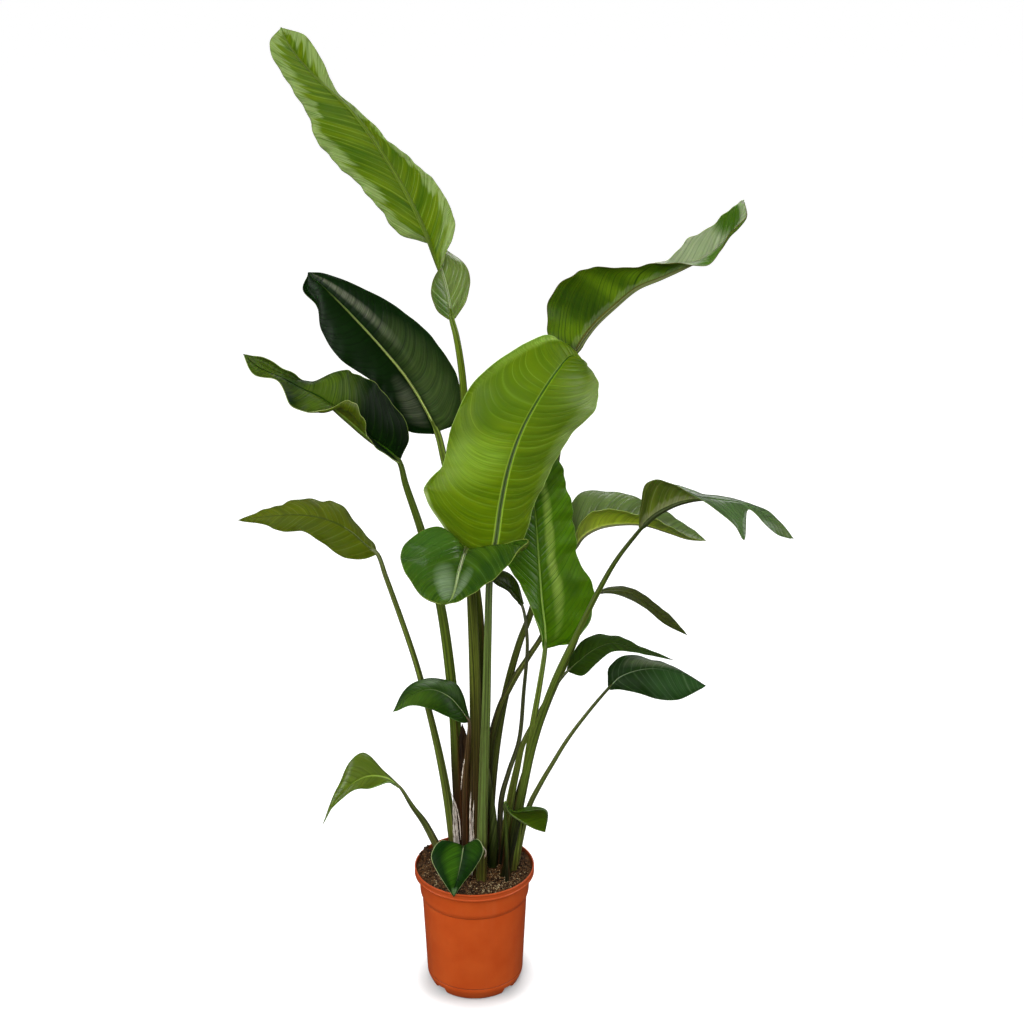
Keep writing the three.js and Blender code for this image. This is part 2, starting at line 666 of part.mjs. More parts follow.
// A sheath stands on the soil and is clear of the stalks that it wraps.
const clearOfSheaths = [soil.translate(0, 0, GAP), ...stalkHoles];
DRY_SHEATHS.forEach((sheath) => {
  const trimmed = clearOfSheaths.reduce((solid, other) => solid.subtract(other), bladeSolid(sheath));
  group.add(meshFrom(sheath.name, largestPiece(trimmed), DRY_PAPER));
});

export default group;
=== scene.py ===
# %% [markdown]
# # A potted bird of paradise
#
# The plant is a clump of long-stalked paddle leaves in a terracotta-coloured plastic
# pot. The solids of every piece are already placed by the frame, at their real size and
# in metres. This lesson puts a finer piece over each of them: leaves with veins, rolled
# margins and a grooved midrib, stalks with a channel, a moulded pot and crumbly peat.
# Everything is worked out in millimetres, as on a drawing, and scaled once on the way
# into Blender.

# %% Load the frame
import math

import bmesh
import bpy
import numpy as np
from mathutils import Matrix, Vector, noise


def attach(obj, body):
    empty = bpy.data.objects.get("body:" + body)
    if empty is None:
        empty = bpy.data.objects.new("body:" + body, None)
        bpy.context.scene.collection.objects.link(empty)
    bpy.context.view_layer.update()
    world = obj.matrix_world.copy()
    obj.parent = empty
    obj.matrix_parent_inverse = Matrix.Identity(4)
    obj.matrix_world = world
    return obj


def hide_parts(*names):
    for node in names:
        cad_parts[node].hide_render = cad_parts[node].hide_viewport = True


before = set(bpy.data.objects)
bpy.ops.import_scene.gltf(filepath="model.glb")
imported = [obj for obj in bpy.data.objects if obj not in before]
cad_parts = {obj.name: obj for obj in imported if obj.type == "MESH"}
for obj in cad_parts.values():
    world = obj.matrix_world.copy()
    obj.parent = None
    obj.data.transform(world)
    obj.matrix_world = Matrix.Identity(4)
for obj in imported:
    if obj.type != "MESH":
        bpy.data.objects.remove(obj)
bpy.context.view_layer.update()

MM = 0.001
print("solids in the frame:", len(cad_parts))

# %% [markdown]
# ## Helpers
#
# A colour is picked on screen as an sRGB hex value, but a shader reckons in linear
# light, so one function does the turning. A second one adds a node, with its settings
# and what goes into it, and gives back the output to use. Sockets may be given by
# number: a map range has its value, from min, from max, to min and to max at 0 to 4,
# and a colour mix has its share and its two colours at 0, 6 and 7.
#
# Every finish here is built up like a glaze, so one function lays a colour over what
# is there, the more a value goes from one bound to the other. A streak is noise that is
# stretched along the piece's own lines. Those lines come with the mesh, as named
# numbers on its points. Attributes are used instead of UV maps, because they can hold
# lengths in millimetres and so give every pattern its real scale.
#
# A stalk, a pot wall and the soil are all closed rings of points joined one above the
# other, so they share the function that counts out the faces.

# %% Colour and node helpers
def linear(hex_colour):
    parts = [int(hex_colour[i:i + 2], 16) / 255 for i in (1, 3, 5)]
    return [p / 12.92 if p <= 0.04045 else ((p + 0.055) / 1.055) ** 2.4 for p in parts] + [1.0]


def add(tree, kind, into=None, out=None, **settings):
    """Adds a node and gives back its named output, or the first one that is in use."""
    node = tree.nodes.new("ShaderNode" + kind)
    for name, value in settings.items():
        setattr(node, name, value)
    for socket, value in (into or {}).items():
        if isinstance(value, bpy.types.NodeSocket):
            tree.links.new(value, node.inputs[socket])
        else:
            node.inputs[socket].default_value = linear(value) if isinstance(value, str) else value
    if out:
        return node.outputs[out]
    return next((output for output in node.outputs if output.enabled), None)


def new_material(name):
    material = bpy.data.materials.new(name)
    material.use_nodes = True
    material.node_tree.nodes.clear()
    return material, material.node_tree


def lay(tree, under, colour, value, start, end, strength=1.0, times=None, **settings):
    """Lays a colour over another one, the more the value goes from start to end."""
    share = add(tree, "MapRange", {0: value, 1: start, 2: end, 4: strength}, **settings)
    if times is not None:
        share = add(tree, "Math", {0: share, 1: times}, operation="MULTIPLY")
    return add(tree, "Mix", {0: share, 6: under, 7: colour}, data_type="RGBA")


def streaks(tree, across, along, per_mm, detail):
    """Noise over two lengths in mm, with how often it changes along each of them."""
    at = add(tree, "CombineXYZ", {0: across, 1: along})
    at = add(tree, "VectorMath", {0: at, 1: (*per_mm, 1)}, operation="MULTIPLY")
    return add(tree, "TexNoise", {"Vector": at, "Scale": 1.0, "Detail": detail})


def surface(tree, skin, height, bump, depth):
    """Ends a material: a bump of some depth in metres, the shader and the output."""
    relief = add(tree, "Bump", {"Height": height, "Strength": bump, "Distance": depth})
    shader = add(tree, "BsdfPrincipled", {**skin, "Normal": relief})
    add(tree, "OutputMaterial", {"Surface": shader})


# %% Mesh helpers
def unit(vectors):
    return vectors / np.maximum(np.linalg.norm(vectors, axis=-1, keepdims=True), 1e-9)


def link(made):
    bpy.context.scene.collection.objects.link(made)
    return made


def piece(name, points, faces, materials, replaces=(), kinds=None, fields=None, sharp=45):
    mesh = bpy.data.meshes.new(name)
    mesh.from_pydata((np.asarray(points, float) * MM).tolist(), [], faces)
    for material in materials:
        mesh.materials.append(material)
    if kinds is not None:
        mesh.polygons.foreach_set("material_index", kinds)
    for field, values in (fields or {}).items():
        attribute = mesh.attributes.new(field, "FLOAT", "POINT")
        attribute.data.foreach_set("value", np.asarray(values, np.float32).ravel())
    mesh.shade_smooth()
    mesh.set_sharp_from_angle(angle=math.radians(sharp))
    mesh.validate()
    made = link(bpy.data.objects.new(name, mesh))
    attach(made, "root")
    if replaces:
        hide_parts(*replaces)
    return made


def ring_walls(rows, columns):
    """Point numbers of closed rings, and the faces between one ring and the next."""
    index = np.arange(rows * columns).reshape(rows, columns)
    beside = np.roll(index, -1, 1)
    walls = np.stack([index[:-1], beside[:-1], beside[1:], index[1:]], -1)
    return index, beside, walls.reshape(-1, 4).tolist()


def tube(centres, ups, sides, ring, turn):
    """Points and faces of a closed tube, with each ring's radii at the angles turn."""
    points = (centres[:, None] + ups[:, None] * (ring * np.cos(turn))[..., None]
              + sides[:, None] * (ring * np.sin(turn))[..., None])
    index, _, walls = ring_walls(*ring.shape)
    return points, walls + [index[0, ::-1].tolist(), index[-1].tolist()]


# %% [markdown]
# ## Sizes
#
# The pot is the ruler of the whole plant: a standard growing pot, 21 cm over its lip.
# The values below are the ones that its solid was made with, so that the finer pot
# lies exactly over it.

# %% Sizes of the pot and the soil
GAP = 0.35
RIM_RADIUS, POT_HEIGHT, WALL = 105, 228, 1.6
LIP_UNDERSIDE, LIP_WALL, LIP_LEDGE = 214.5, 3, 4.5
NECK_RADIUS = 97
STEP_HEIGHT, STEP_RADIUS, STEP_OUT, STEP_RISE = 172, 92, 3.5, 8
CORNER_RADIUS, CORNER_HEIGHT, SEAM_HEIGHT = 85, 23, 26
FOOT_RADIUS, FOOT_WALL = 73, 2.4
FLOOR_UNDERSIDE, FLOOR_TOP, CENTRE_PAD_RADIUS = 17, 19, 14
NOTCH_WIDTH, NOTCH_HEIGHT, NOTCH_REACH = 30, 14, 24
NOTCH_ANGLES = (50, 130, 230, 310)
SOIL_TOP, SOIL_BUMP, FOOT_DEPTH = 219, 1.6, 205
CLOD_X, CLOD_Y, CLOD_HEIGHT, CLOD_SPREAD = -84, 40, 13, 11

# %% [markdown]
# ## The leaves' curves
#
# A leaf is drawn as the plant carries it. Its stalk is a list of points from the soil
# up, and its blade is a list of cross sections from base to tip, each with a point on
# the left margin, on the midrib and on the right margin. Smooth curves through these
# points are the rails that the blade hangs between. The points are the same as those
# of the solids, because a finer leaf has to stay where its solid is.

# %% Leaves: foot, stalk, base, sections (left margin, midrib, right margin) and tip
LEAVES = {
    "tall_left": dict(
        foot=[-2, 34], radius=[9, 4.5], width=6,
        stalk=[[8, 36, 528], [2, 40, 713], [-7, 48, 925], [-14, 55, 1094], [-24, 58, 1167]],
        base=[-31, 60, 1195],
        sections=[
            [[-54, 52, 1213], [-35, 62, 1224], [-8, 58, 1227]],
            [[-61, 48, 1255], [-44, 66, 1264], [-5, 84, 1266]],
            [[-42, 44, 1296], [-54, 72, 1293], [-40, 106, 1299]],
            [[-27, 70, 1345], [-74, 84, 1338], [-109, 112, 1320]],
            [[-56, 105, 1404], [-115, 98, 1415], [-167, 122, 1388]],
            [[-130, 128, 1470], [-184, 120, 1512], [-240, 138, 1462]],
            [[-218, 146, 1554], [-233, 140, 1556], [-268, 154, 1525]],
            [[-241, 160, 1597], [-268, 156, 1590], [-301, 168, 1571]],
            [[-264, 172, 1627], [-292, 168, 1622], [-318, 177, 1617]],
        ],
        tip=[-301, 180, 1640]),
    "dark_left": dict(
        foot=[9, 8], radius=[9, 5.5], width=4,
        stalk=[[14, 14, 539], [8, 20, 721], [-17, 34, 859], [-43, 52, 946]],
        base=[-57, 62, 1003],
        sections=[
            [[-104, 48, 1011], [-77, 72, 1042], [-24, 54, 1025]],
            [[-127, 58, 1038], [-106, 86, 1087], [-22, 67, 1086]],
            [[-155, 78, 1079], [-149, 102, 1137], [-63, 80, 1156]],
            [[-217, 104, 1118], [-194, 122, 1182], [-124, 108, 1203]],
            [[-248, 126, 1160], [-227, 138, 1212], [-179, 130, 1228]],
            [[-256, 146, 1200], [-250, 150, 1231], [-220, 146, 1242]],
            [[-275, 160, 1222], [-264, 160, 1240], [-249, 160, 1247]],
        ],
        tip=[-271, 166, 1247]),
    "lower_left": dict(
        foot=[-20, 21], radius=[11.5, 4.3],
        stalk=[[-29, 18, 413], [-33, 15, 515], [-53, 6, 716], [-82, -6, 853], [-106, -14, 938]],
        base=[-116, -20, 981],
        sections=[
            [[-134, -40, 998], [-133, -26, 1000], [-101, -10, 1018]],
            [[-161, -68, 1035], [-160, -40, 1026], [-127, -12, 1079]],
            [[-184, -98, 1089], [-195, -58, 1065], [-168, -22, 1120]],
            [[-232, -110, 1090], [-229, -72, 1100], [-201, -36, 1135]],
            [[-273, -112, 1101], [-264, -84, 1123], [-250, -58, 1125]],
            [[-291, -112, 1141], [-289, -100, 1143], [-282, -84, 1142]],
            [[-328, -120, 1155], [-324, -112, 1164], [-319, -102, 1172]],
        ],
        tip=[-343, -120, 1186]),
    "front_large": dict(
        foot=[12, -34], radius=[9.5, 5.5],
        stalk=[[18, -39, 424], [23, -44, 567], [26, -48, 679]],
        base=[32, -52, 822],
        sections=[
            [[-20, -34, 845], [40, -54, 858], [77, -34, 839]],
            [[-73, -30, 931], [48, -56, 918], [100, -30, 906]],
            [[-43, -24, 978], [61, -56, 983], [126, -26, 964]],
            [[-33, -14, 1026], [80, -50, 1039], [156, -18, 1019]],
            [[4, -6, 1099], [106, -38, 1087], [198, 2, 1061]],
            [[77, 10, 1154], [137, -12, 1128], [204, 34, 1094]],
            [[128, 26, 1172], [162, 32, 1141], [187, 64, 1120]],
            [[155, 54, 1152], [181, 60, 1120], [194, 86, 1099]],
        ],
        tip=[198, 98, 1082]),
    "behind_right": dict(
        foot=[66, -4], radius=[7, 4],
        stalk=[[82, 0, 354], [100, 2, 488], [113, 4, 572]],
        base=[122, 10, 638],
        sections=[
            [[113, 4, 670], [122, 12, 666], [167, 4, 655]],
            [[91, 10, 731], [116, 24, 720], [204, 10, 726]],
            [[58, 26, 791], [111, 36, 787], [174, 26, 800]],
            [[39, 38, 861], [106, 48, 854], [167, 40, 859]],
            [[41, 50, 933], [99, 58, 921], [155, 52, 916]],
            [[59, 64, 989], [96, 68, 979], [137, 64, 967]],
        ],
        tip=[96, 80, 1032]),
    "cup": dict(
        foot=[0, -16], radius=[11, 6],
        stalk=[[4, -16, 519], [1, -28, 707], [-3, -46, 799]],
        base=[-8, -70, 848],
        sections=[
            [[90, -74, 855], [-12, -92, 843], [-49, -66, 886]],
            [[64, -118, 848], [-18, -124, 832], [-101, -92, 867]],
            [[32, -160, 828], [-22, -160, 823], [-107, -140, 855]],
            [[-3, -196, 820], [-26, -196, 819], [-86, -184, 829]],
            [[-21, -220, 819], [-31, -214, 817], [-60, -212, 818]],
        ],
        tip=[-40, -226, 817]),
    "mid_left": dict(
        foot=[-34, 38], radius=[8, 3.5],
        stalk=[[-47, 30, 338], [-59, 26, 422], [-75, 21, 509], [-98, 14, 614], [-143, 3, 770]],
        base=[-157, 0, 814],
        sections=[
            [[-177, -10, 809], [-175, 6, 827], [-164, 20, 820]],
            [[-210, 0, 807], [-202, 16, 847], [-191, 36, 851]],
            [[-245, 16, 824], [-234, 28, 860], [-224, 62, 876]],
            [[-279, 36, 839], [-268, 46, 862], [-262, 84, 877]],
            [[-318, 58, 831], [-307, 62, 858], [-315, 92, 868]],
            [[-352, 78, 836], [-348, 80, 848], [-351, 96, 854]],
        ],
        tip=[-398, 98, 835]),
    "small_left": dict(
        foot=[-15, -3], radius=[8, 3],
        stalk=[[-14, -4, 307], [-13, -18, 417], [-8, -28, 481]],
        base=[-7, -30, 522],
        sections=[
            [[-17, -40, 524], [-20, -32, 544], [-12, -18, 543]],
            [[-43, -52, 542], [-40, -38, 571], [-28, -10, 580]],
            [[-71, -56, 558], [-71, -42, 586], [-72, -10, 590]],
            [[-102, -62, 567], [-104, -52, 578], [-110, -32, 584]],
        ],
        tip=[-132, -64, 555]),
    "low_left": dict(
        foot=[-49, 26], radius=[7.5, 2.6],
        stalk=[[-86, 14, 299], [-107, -6, 346]],
        base=[-128, -20, 392],
        sections=[
            [[-146, -30, 405], [-148, -24, 410], [-152, -12, 415]],
            [[-176, -38, 400], [-178, -28, 416], [-188, -2, 446]],
            [[-202, -42, 398], [-202, -34, 408], [-211, -12, 434]],
            [[-226, -44, 380], [-223, -38, 389], [-228, -22, 402]],
            [[-242, -44, 363], [-240, -42, 368], [-241, -34, 377]],
        ],
        tip=[-258, -46, 333]),
    "heart": dict(
        foot=[-15, -32], radius=[4, 2.5],
        stalk=[[-15, -36, 265]],
        base=[-17, -50, 292],
        sections=[
            [[6, -50, 304], [-18, -62, 292], [-54, -48, 301]],
            [[16, -70, 296], [-21, -80, 279], [-71, -72, 286]],
            [[3, -88, 274], [-26, -96, 261], [-60, -92, 266]],
            [[-19, -103, 250], [-31, -106, 244], [-46, -104, 248]],
        ],
        tip=[-33, -111, 229]),
    "tiny_right": dict(
        foot=[58, -44], radius=[4, 2],
        stalk=[[56, -44, 320]],
        base=[54, -46, 376],
        sections=[
            [[68, -36, 353], [63, -46, 356], [64, -56, 364]],
            [[94, -28, 356], [81, -48, 342], [86, -64, 366]],
            [[126, -26, 347], [104, -52, 329], [121, -66, 370]],
        ],
        tip=[123, -54, 322]),
    "right_low": dict(
        foot=[70, 12], radius=[5, 2.6],
        stalk=[[95, 2, 337], [116, -4, 389], [136, -8, 430], [161, -12, 478], [195, -16, 531]],
        base=[229, -20, 578],
        sections=[
            [[230, -4, 608], [247, -26, 601], [245, -34, 583]],
            [[264, -4, 631], [280, -34, 618], [276, -52, 585]],
            [[305, -22, 629], [313, -46, 625], [306, -70, 583]],
            [[339, -44, 626], [347, -62, 623], [338, -82, 587]],
        ],
        tip=[385, -84, 612]),
    "right_fold": dict(
        foot=[50, 15], radius=[8.5, 2.2],
        stalk=[[57, 13, 290], [64, 12, 350], [75, 13, 410], [84, 15, 452], [104, 17, 496],
               [141, 19, 565]],
        base=[161, 20, 591],
        sections=[
            [[170, 46, 614], [180, 28, 606], [185, 6, 590]],
            [[206, 64, 636], [208, 44, 621], [211, 26, 605]],
            [[243, 74, 632], [239, 58, 626], [238, 44, 617]],
            [[281, 80, 612], [279, 70, 609], [281, 60, 607]],
        ],
        tip=[345, 84, 582]),
    "droop": dict(
        foot=[62, 37], radius=[5, 2.6],
        stalk=[[75, 44, 330], [101, 52, 424], [132, 62, 516], [170, 76, 604], [193, 86, 664]],
        base=[212, 94, 705],
        sections=[
            [[237, 116, 705], [238, 104, 705], [239, 94, 703]],
            [[273, 136, 695], [272, 122, 692], [270, 112, 685]],
            [[309, 156, 664], [304, 142, 661], [299, 130, 660]],
            [[347, 176, 624], [341, 164, 622], [334, 154, 621]],
        ],
        tip=[379, 190, 582]),
    "right_torn": dict(
        foot=[52, -20], radius=[8, 3.6],
        stalk=[[81, -24, 367], [103, -28, 481], [138, -32, 598],
               [175, -34, 687], [207, -35, 759], [237, -37, 818]],
        base=[275, -40, 873],
        sections=[
            [[282, -16, 904], [285, -46, 889], [272, -64, 920]],
            [[294, -18, 936], [303, -56, 908], [280, -80, 964]],
            [[330, -34, 943], [334, -68, 928], [314, -94, 969]],
            [[373, -56, 937], [369, -80, 939], [367, -112, 944]],
            [[401, -66, 936], [398, -90, 939], [415, -128, 911]],
            [[424, -74, 933], [421, -96, 938], [430, -134, 890]],
            [[441, -80, 930], [437, -100, 934], [438, -106, 930]],
            [[466, -90, 923], [460, -104, 922], [460, -120, 915]],
            [[491, -100, 905], [486, -110, 906], [485, -120, 893]],
        ],
        tip=[510, -120, 885]),
    "right_back": dict(
        foot=[32, 30], radius=[7, 3.5],
        stalk=[[26, 40, 411], [44, 46, 504], [71, 54, 562],
               [94, 61, 598], [119, 66, 639], [148, 68, 720]],
        base=[166, 70, 788],
        sections=[
            [[162, 100, 849], [183, 78, 813], [175, 60, 828]],
            [[185, 128, 873], [209, 90, 825], [196, 58, 863]],
            [[230, 146, 869], [244, 104, 827], [232, 68, 864]],
            [[286, 160, 851], [290, 120, 820], [283, 86, 849]],
            [[340, 170, 818], [335, 138, 799], [331, 108, 823]],
            [[376, 174, 792], [371, 154, 780], [365, 136, 792]],
        ],
        tip=[404, 170, 770]),
    "upper_right": dict(
        foot=[24, 52], radius=[8.5, 4.5],
        stalk=[[29, 58, 332], [41, 62, 448], [58, 66, 543], [78, 70, 620],
               [100, 75, 683], [122, 82, 805], [143, 88, 964]],
        base=[168, 92, 1128],
        sections=[
            [[145, 114, 1154], [178, 94, 1149], [126, 72, 1163]],
            [[155, 128, 1196], [200, 98, 1178], [126, 66, 1217]],
            [[191, 138, 1232], [230, 104, 1205], [159, 68, 1264]],
            [[233, 146, 1253], [268, 110, 1235], [210, 80, 1274]],
            [[285, 152, 1257], [307, 116, 1250], [272, 92, 1273]],
            [[331, 152, 1280], [346, 122, 1266], [337, 98, 1278]],
            [[362, 154, 1308], [382, 128, 1283], [383, 106, 1273]],
            [[401, 156, 1333], [413, 136, 1307], [414, 118, 1311]],
            [[429, 160, 1358], [437, 146, 1340], [445, 138, 1341]],
        ],
        tip=[443, 158, 1369]),
    "dark_back": dict(
        foot=[45, 33], radius=[5, 2.6],
        stalk=[[47, 30, 338], [60, 31, 392], [78, 33, 452], [86, 38, 540], [92, 46, 637]],
        base=[83, 56, 697],
        sections=[
            [[73, 48, 710], [71, 64, 714], [75, 74, 730]],
            [[57, 72, 718], [52, 82, 727], [59, 92, 741]],
            [[39, 98, 718], [33, 104, 729], [38, 112, 737]],
        ],
        tip=[14, 128, 727]),
}

# %% [markdown]
# A rail is a centripetal Catmull-Rom curve, which passes through every point without
# overshooting. Blender's own curves would need handles for the same line, so it is
# written out here and worked out for many places at once.

# %% A smooth rail through points
class Rail:
    def __init__(self, points):
        self.points = np.array(points, float)

    def at(self, t):
        points = self.points
        last = len(points) - 1
        place = np.clip(np.asarray(t, float), 0, 1) * last
        i = np.minimum(np.floor(place).astype(int), last - 1)
        w = (place - i)[:, None]
        before = np.vstack([2 * points[0] - points[1], points, 2 * points[-1] - points[-2]])
        p0, p1, p2, p3 = before[i], before[i + 1], before[i + 2], before[i + 3]
        d0, d1, d2 = (np.sqrt(np.linalg.norm(b - a, axis=1))[:, None] + 1e-6
                      for a, b in ((p0, p1), (p1, p2), (p2, p3)))
        start = ((p1 - p0) / d0 - (p2 - p0) / (d0 + d1) + (p2 - p1) / d1) * d1
        end = ((p2 - p1) / d1 - (p3 - p1) / (d1 + d2) + (p3 - p2) / d2) * d1
        return (p1 + start * w + (3 * (p2 - p1) - 2 * start - end) * w ** 2
                + (2 * (p1 - p2) + start + end) * w ** 3)

    def along(self, t):
        step = 1e-3
        return unit(self.at(np.asarray(t) + step) - self.at(np.asarray(t) - step))


def lengths(points):
    """How far along a line of points each of them is."""
    steps = np.linalg.norm(np.diff(points, axis=0), axis=1)
    return np.concatenate([[0], np.cumsum(steps)])


TIP_WIDTH, SHEATH_FOOT_WIDTH = 1.5, 2.5


def blade_rails(leaf):
    rib = np.array([leaf["base"]] + [s[1] for s in leaf["sections"]] + [leaf["tip"]], float)
    path = Rail(rib)
    heading = path.along([0.0])[0]
    neck = leaf["radius"][1] + GAP if "radius" in leaf else SHEATH_FOOT_WIDTH
    rails = [path]
    for side in (0, 2):
        margin = np.array([s[side] for s in leaf["sections"]], float)
        sideways = margin[0] - rib[0]
        sideways -= sideways.dot(heading) * heading
        first = rib[0] + unit(sideways) * neck
        last = rib[-1] + unit(margin[-1] - rib[-1]) * leaf.get("width", TIP_WIDTH)
        rails.append(Rail(np.vstack([first, margin, last])))
    return rails


# %% [markdown]
# ## Leaf materials
#
# A living leaf is a waxy cuticle over green tissue: IOR about 1.45, satin above, and
# paler and duller below. It is thin enough for light to shine through, which is what
# makes the young leaves glow yellow-green, so the shader has subsurface scattering.
# Parallel side veins run from the midrib to the margin, about 2 mm apart, and every
# 13 mm or so one of them is a sharp crease. The mesh carries where each point lies in
# millimetres, so the fine veins are noise stretched along their own lines, and a crease
# is simply where the vein number folds back on itself. Creases are drawn in their own
# colour: a pale line is a painted highlight along the ridge, a dark one painted shade
# in the fold.
#
# A pale band along the margins of a young leaf and by the midrib of old ones is painted
# sheen, where light glances off the wax. Patches lighter or darker than the rest are
# painted sheen, highlights and shade. The borders of both follow the veins, so they are
# shifted by the same noise. A picture of a leaf laid over the mesh would be quicker,
# but it wouldn't keep its veins in step with the creases of the mesh.

# %% Leaf skin: waxy cuticle
VEIN_SPACING, BAND_SPACING, CREASE_SPACING = 2.2, 17.0, 13.0
VEIN_STRETCH, BAND_STRETCH = 0.012, 0.008
CLOUD_SCALE = 11.0
WAX_SHINE, WAX_IOR = 0.45, 1.45
LEAF_GLOW, GREEN_LIGHT = 0.3, (0.5, 1.0, 0.2)
MARGIN_LINE = 1.5


def shaded(hex_colour, share):
    parts = [int(hex_colour[i:i + 2], 16) for i in (1, 3, 5)]
    return "#" + "".join(f"{min(round(part * share), 255):02x}" for part in parts)


def leaf_skin(name, skin, rib, edge, roughness, deep=None, channel=None, painted_sheen=None,
              crease=0.5, line=None, rib_share=0.6, rib_tip=None, painted_light_patches=(), shine=WAX_SHINE):
    """The pale band, painted sheen: (part of the blade, mm from it, share, colour). A patch of
    painted light and shade: (across, half width, along, half length, share, colour), where
    across runs from -1 at the left margin to 1 at the right one, and along from 0 at the
    stalk to 1 at the tip."""
    material, tree = new_material(name)
    here = {key: add(tree, "Attribute", out="Fac", attribute_name=key)
            for key in ("vein", "reach", "rib", "margin", "across", "along")}
    fine = streaks(tree, here["vein"], here["reach"], (1 / VEIN_SPACING, VEIN_STRETCH), 2.0)
    band = streaks(tree, here["vein"], here["reach"], (1 / BAND_SPACING, BAND_STRETCH), 2.0)
    place = add(tree, "TexCoord", out="Object")
    cloud = add(tree, "TexNoise", {"Vector": place, "Scale": CLOUD_SCALE, "Detail": 3.0})
    fold = add(tree, "Math", {0: here["vein"], 1: CREASE_SPACING / 2}, operation="PINGPONG")

    deep = deep or shaded(skin, 0.8)
    tone = lay(tree, deep, skin, band, 0.35, 0.65)
    tone = lay(tree, tone, shaded(skin, 1.3), fine, 0.45, 0.75, 0.3)
    tone = lay(tree, tone, deep, cloud, 0.4, 0.7, 0.35)
    streaky = add(tree, "MapRange", {0: fine, 1: 0.3, 2: 0.65, 3: 0.4, 4: 1.15})
    # Patches of painted light and shade: sheen and highlights where lighter, shade where darker,
    # with streaky borders.
    for across, half_width, along, half_length, share, colour in painted_light_patches:
        aside = add(tree, "Math", {0: here["across"], 1: 1 / half_width,
                                   2: -across / half_width}, operation="MULTIPLY_ADD")
        ahead = add(tree, "Math", {0: here["along"], 1: 1 / half_length,
                                   2: -along / half_length}, operation="MULTIPLY_ADD")
        offset = add(tree, "CombineXYZ", {0: aside, 1: ahead, 2: band})
        distance = add(tree, "VectorMath", {0: offset}, operation="LENGTH")
        tone = lay(tree, tone, colour, distance, 1.25, 0.65, share, streaky)
    # Crease lines: where pale, a painted highlight along the ridge; where dark, painted shade in
    # the fold.
    uneven = add(tree, "MapRange", {0: band, 1: 0.3, 2: 0.6, 4: 1.2})
    tone = lay(tree, tone, line or shaded(deep, 0.5), fold, 1.5, 0.1, crease, uneven)
    # A pale band of painted sheen, a given width from the margin or the midrib, broken into
    # streaks along the veins.
    if painted_sheen:
        part, width, share, colour = painted_sheen
        shift = add(tree, "MapRange", {0: band, 1: 0.3, 2: 0.7, 3: -0.5 * width, 4: 0.5 * width})
        moved = add(tree, "Math", {0: here[part], 1: shift}, operation="ADD")
        sheen_streaks = add(tree, "MapRange", {0: fine, 1: 0.25, 2: 0.6})
        tone = lay(tree, tone, colour, moved, width, 0.7 * width, share, sheen_streaks)
    rib = lay(tree, rib, rib_tip or skin, here["along"], 0.1, 0.7)
    tone = lay(tree, tone, rib, here["rib"], 1.15 * rib_share, 0.8 * rib_share)
    # Painted shade along the midrib's groove, fading out towards the tip.
    if channel:
        sunk = add(tree, "MapRange", {0: here["along"], 1: 0.9, 2: 0.8})
        tone = lay(tree, tone, channel, here["rib"], 0.75, 0.4, 1.0, sunk)
    tone = lay(tree, tone, edge, here["margin"], MARGIN_LINE, MARGIN_LINE / 3, 0.8)

    rough = add(tree, "MapRange", {0: cloud, 1: 0.3, 2: 0.7, 3: roughness - 0.04,
                                   4: roughness + 0.08})
    groove = add(tree, "MapRange", {0: fold, 1: 0.0, 2: 2.4})
    height = add(tree, "Math", {0: fine, 1: groove}, operation="ADD")
    surface(tree, {"Base Color": tone, "Roughness": rough, "IOR": WAX_IOR,
                   "Specular IOR Level": shine, "Subsurface Weight": LEAF_GLOW,
                   "Subsurface Radius": GREEN_LIGHT, "Subsurface Scale": 0.003},
            height, bump=0.5, depth=0.0006)
    return material
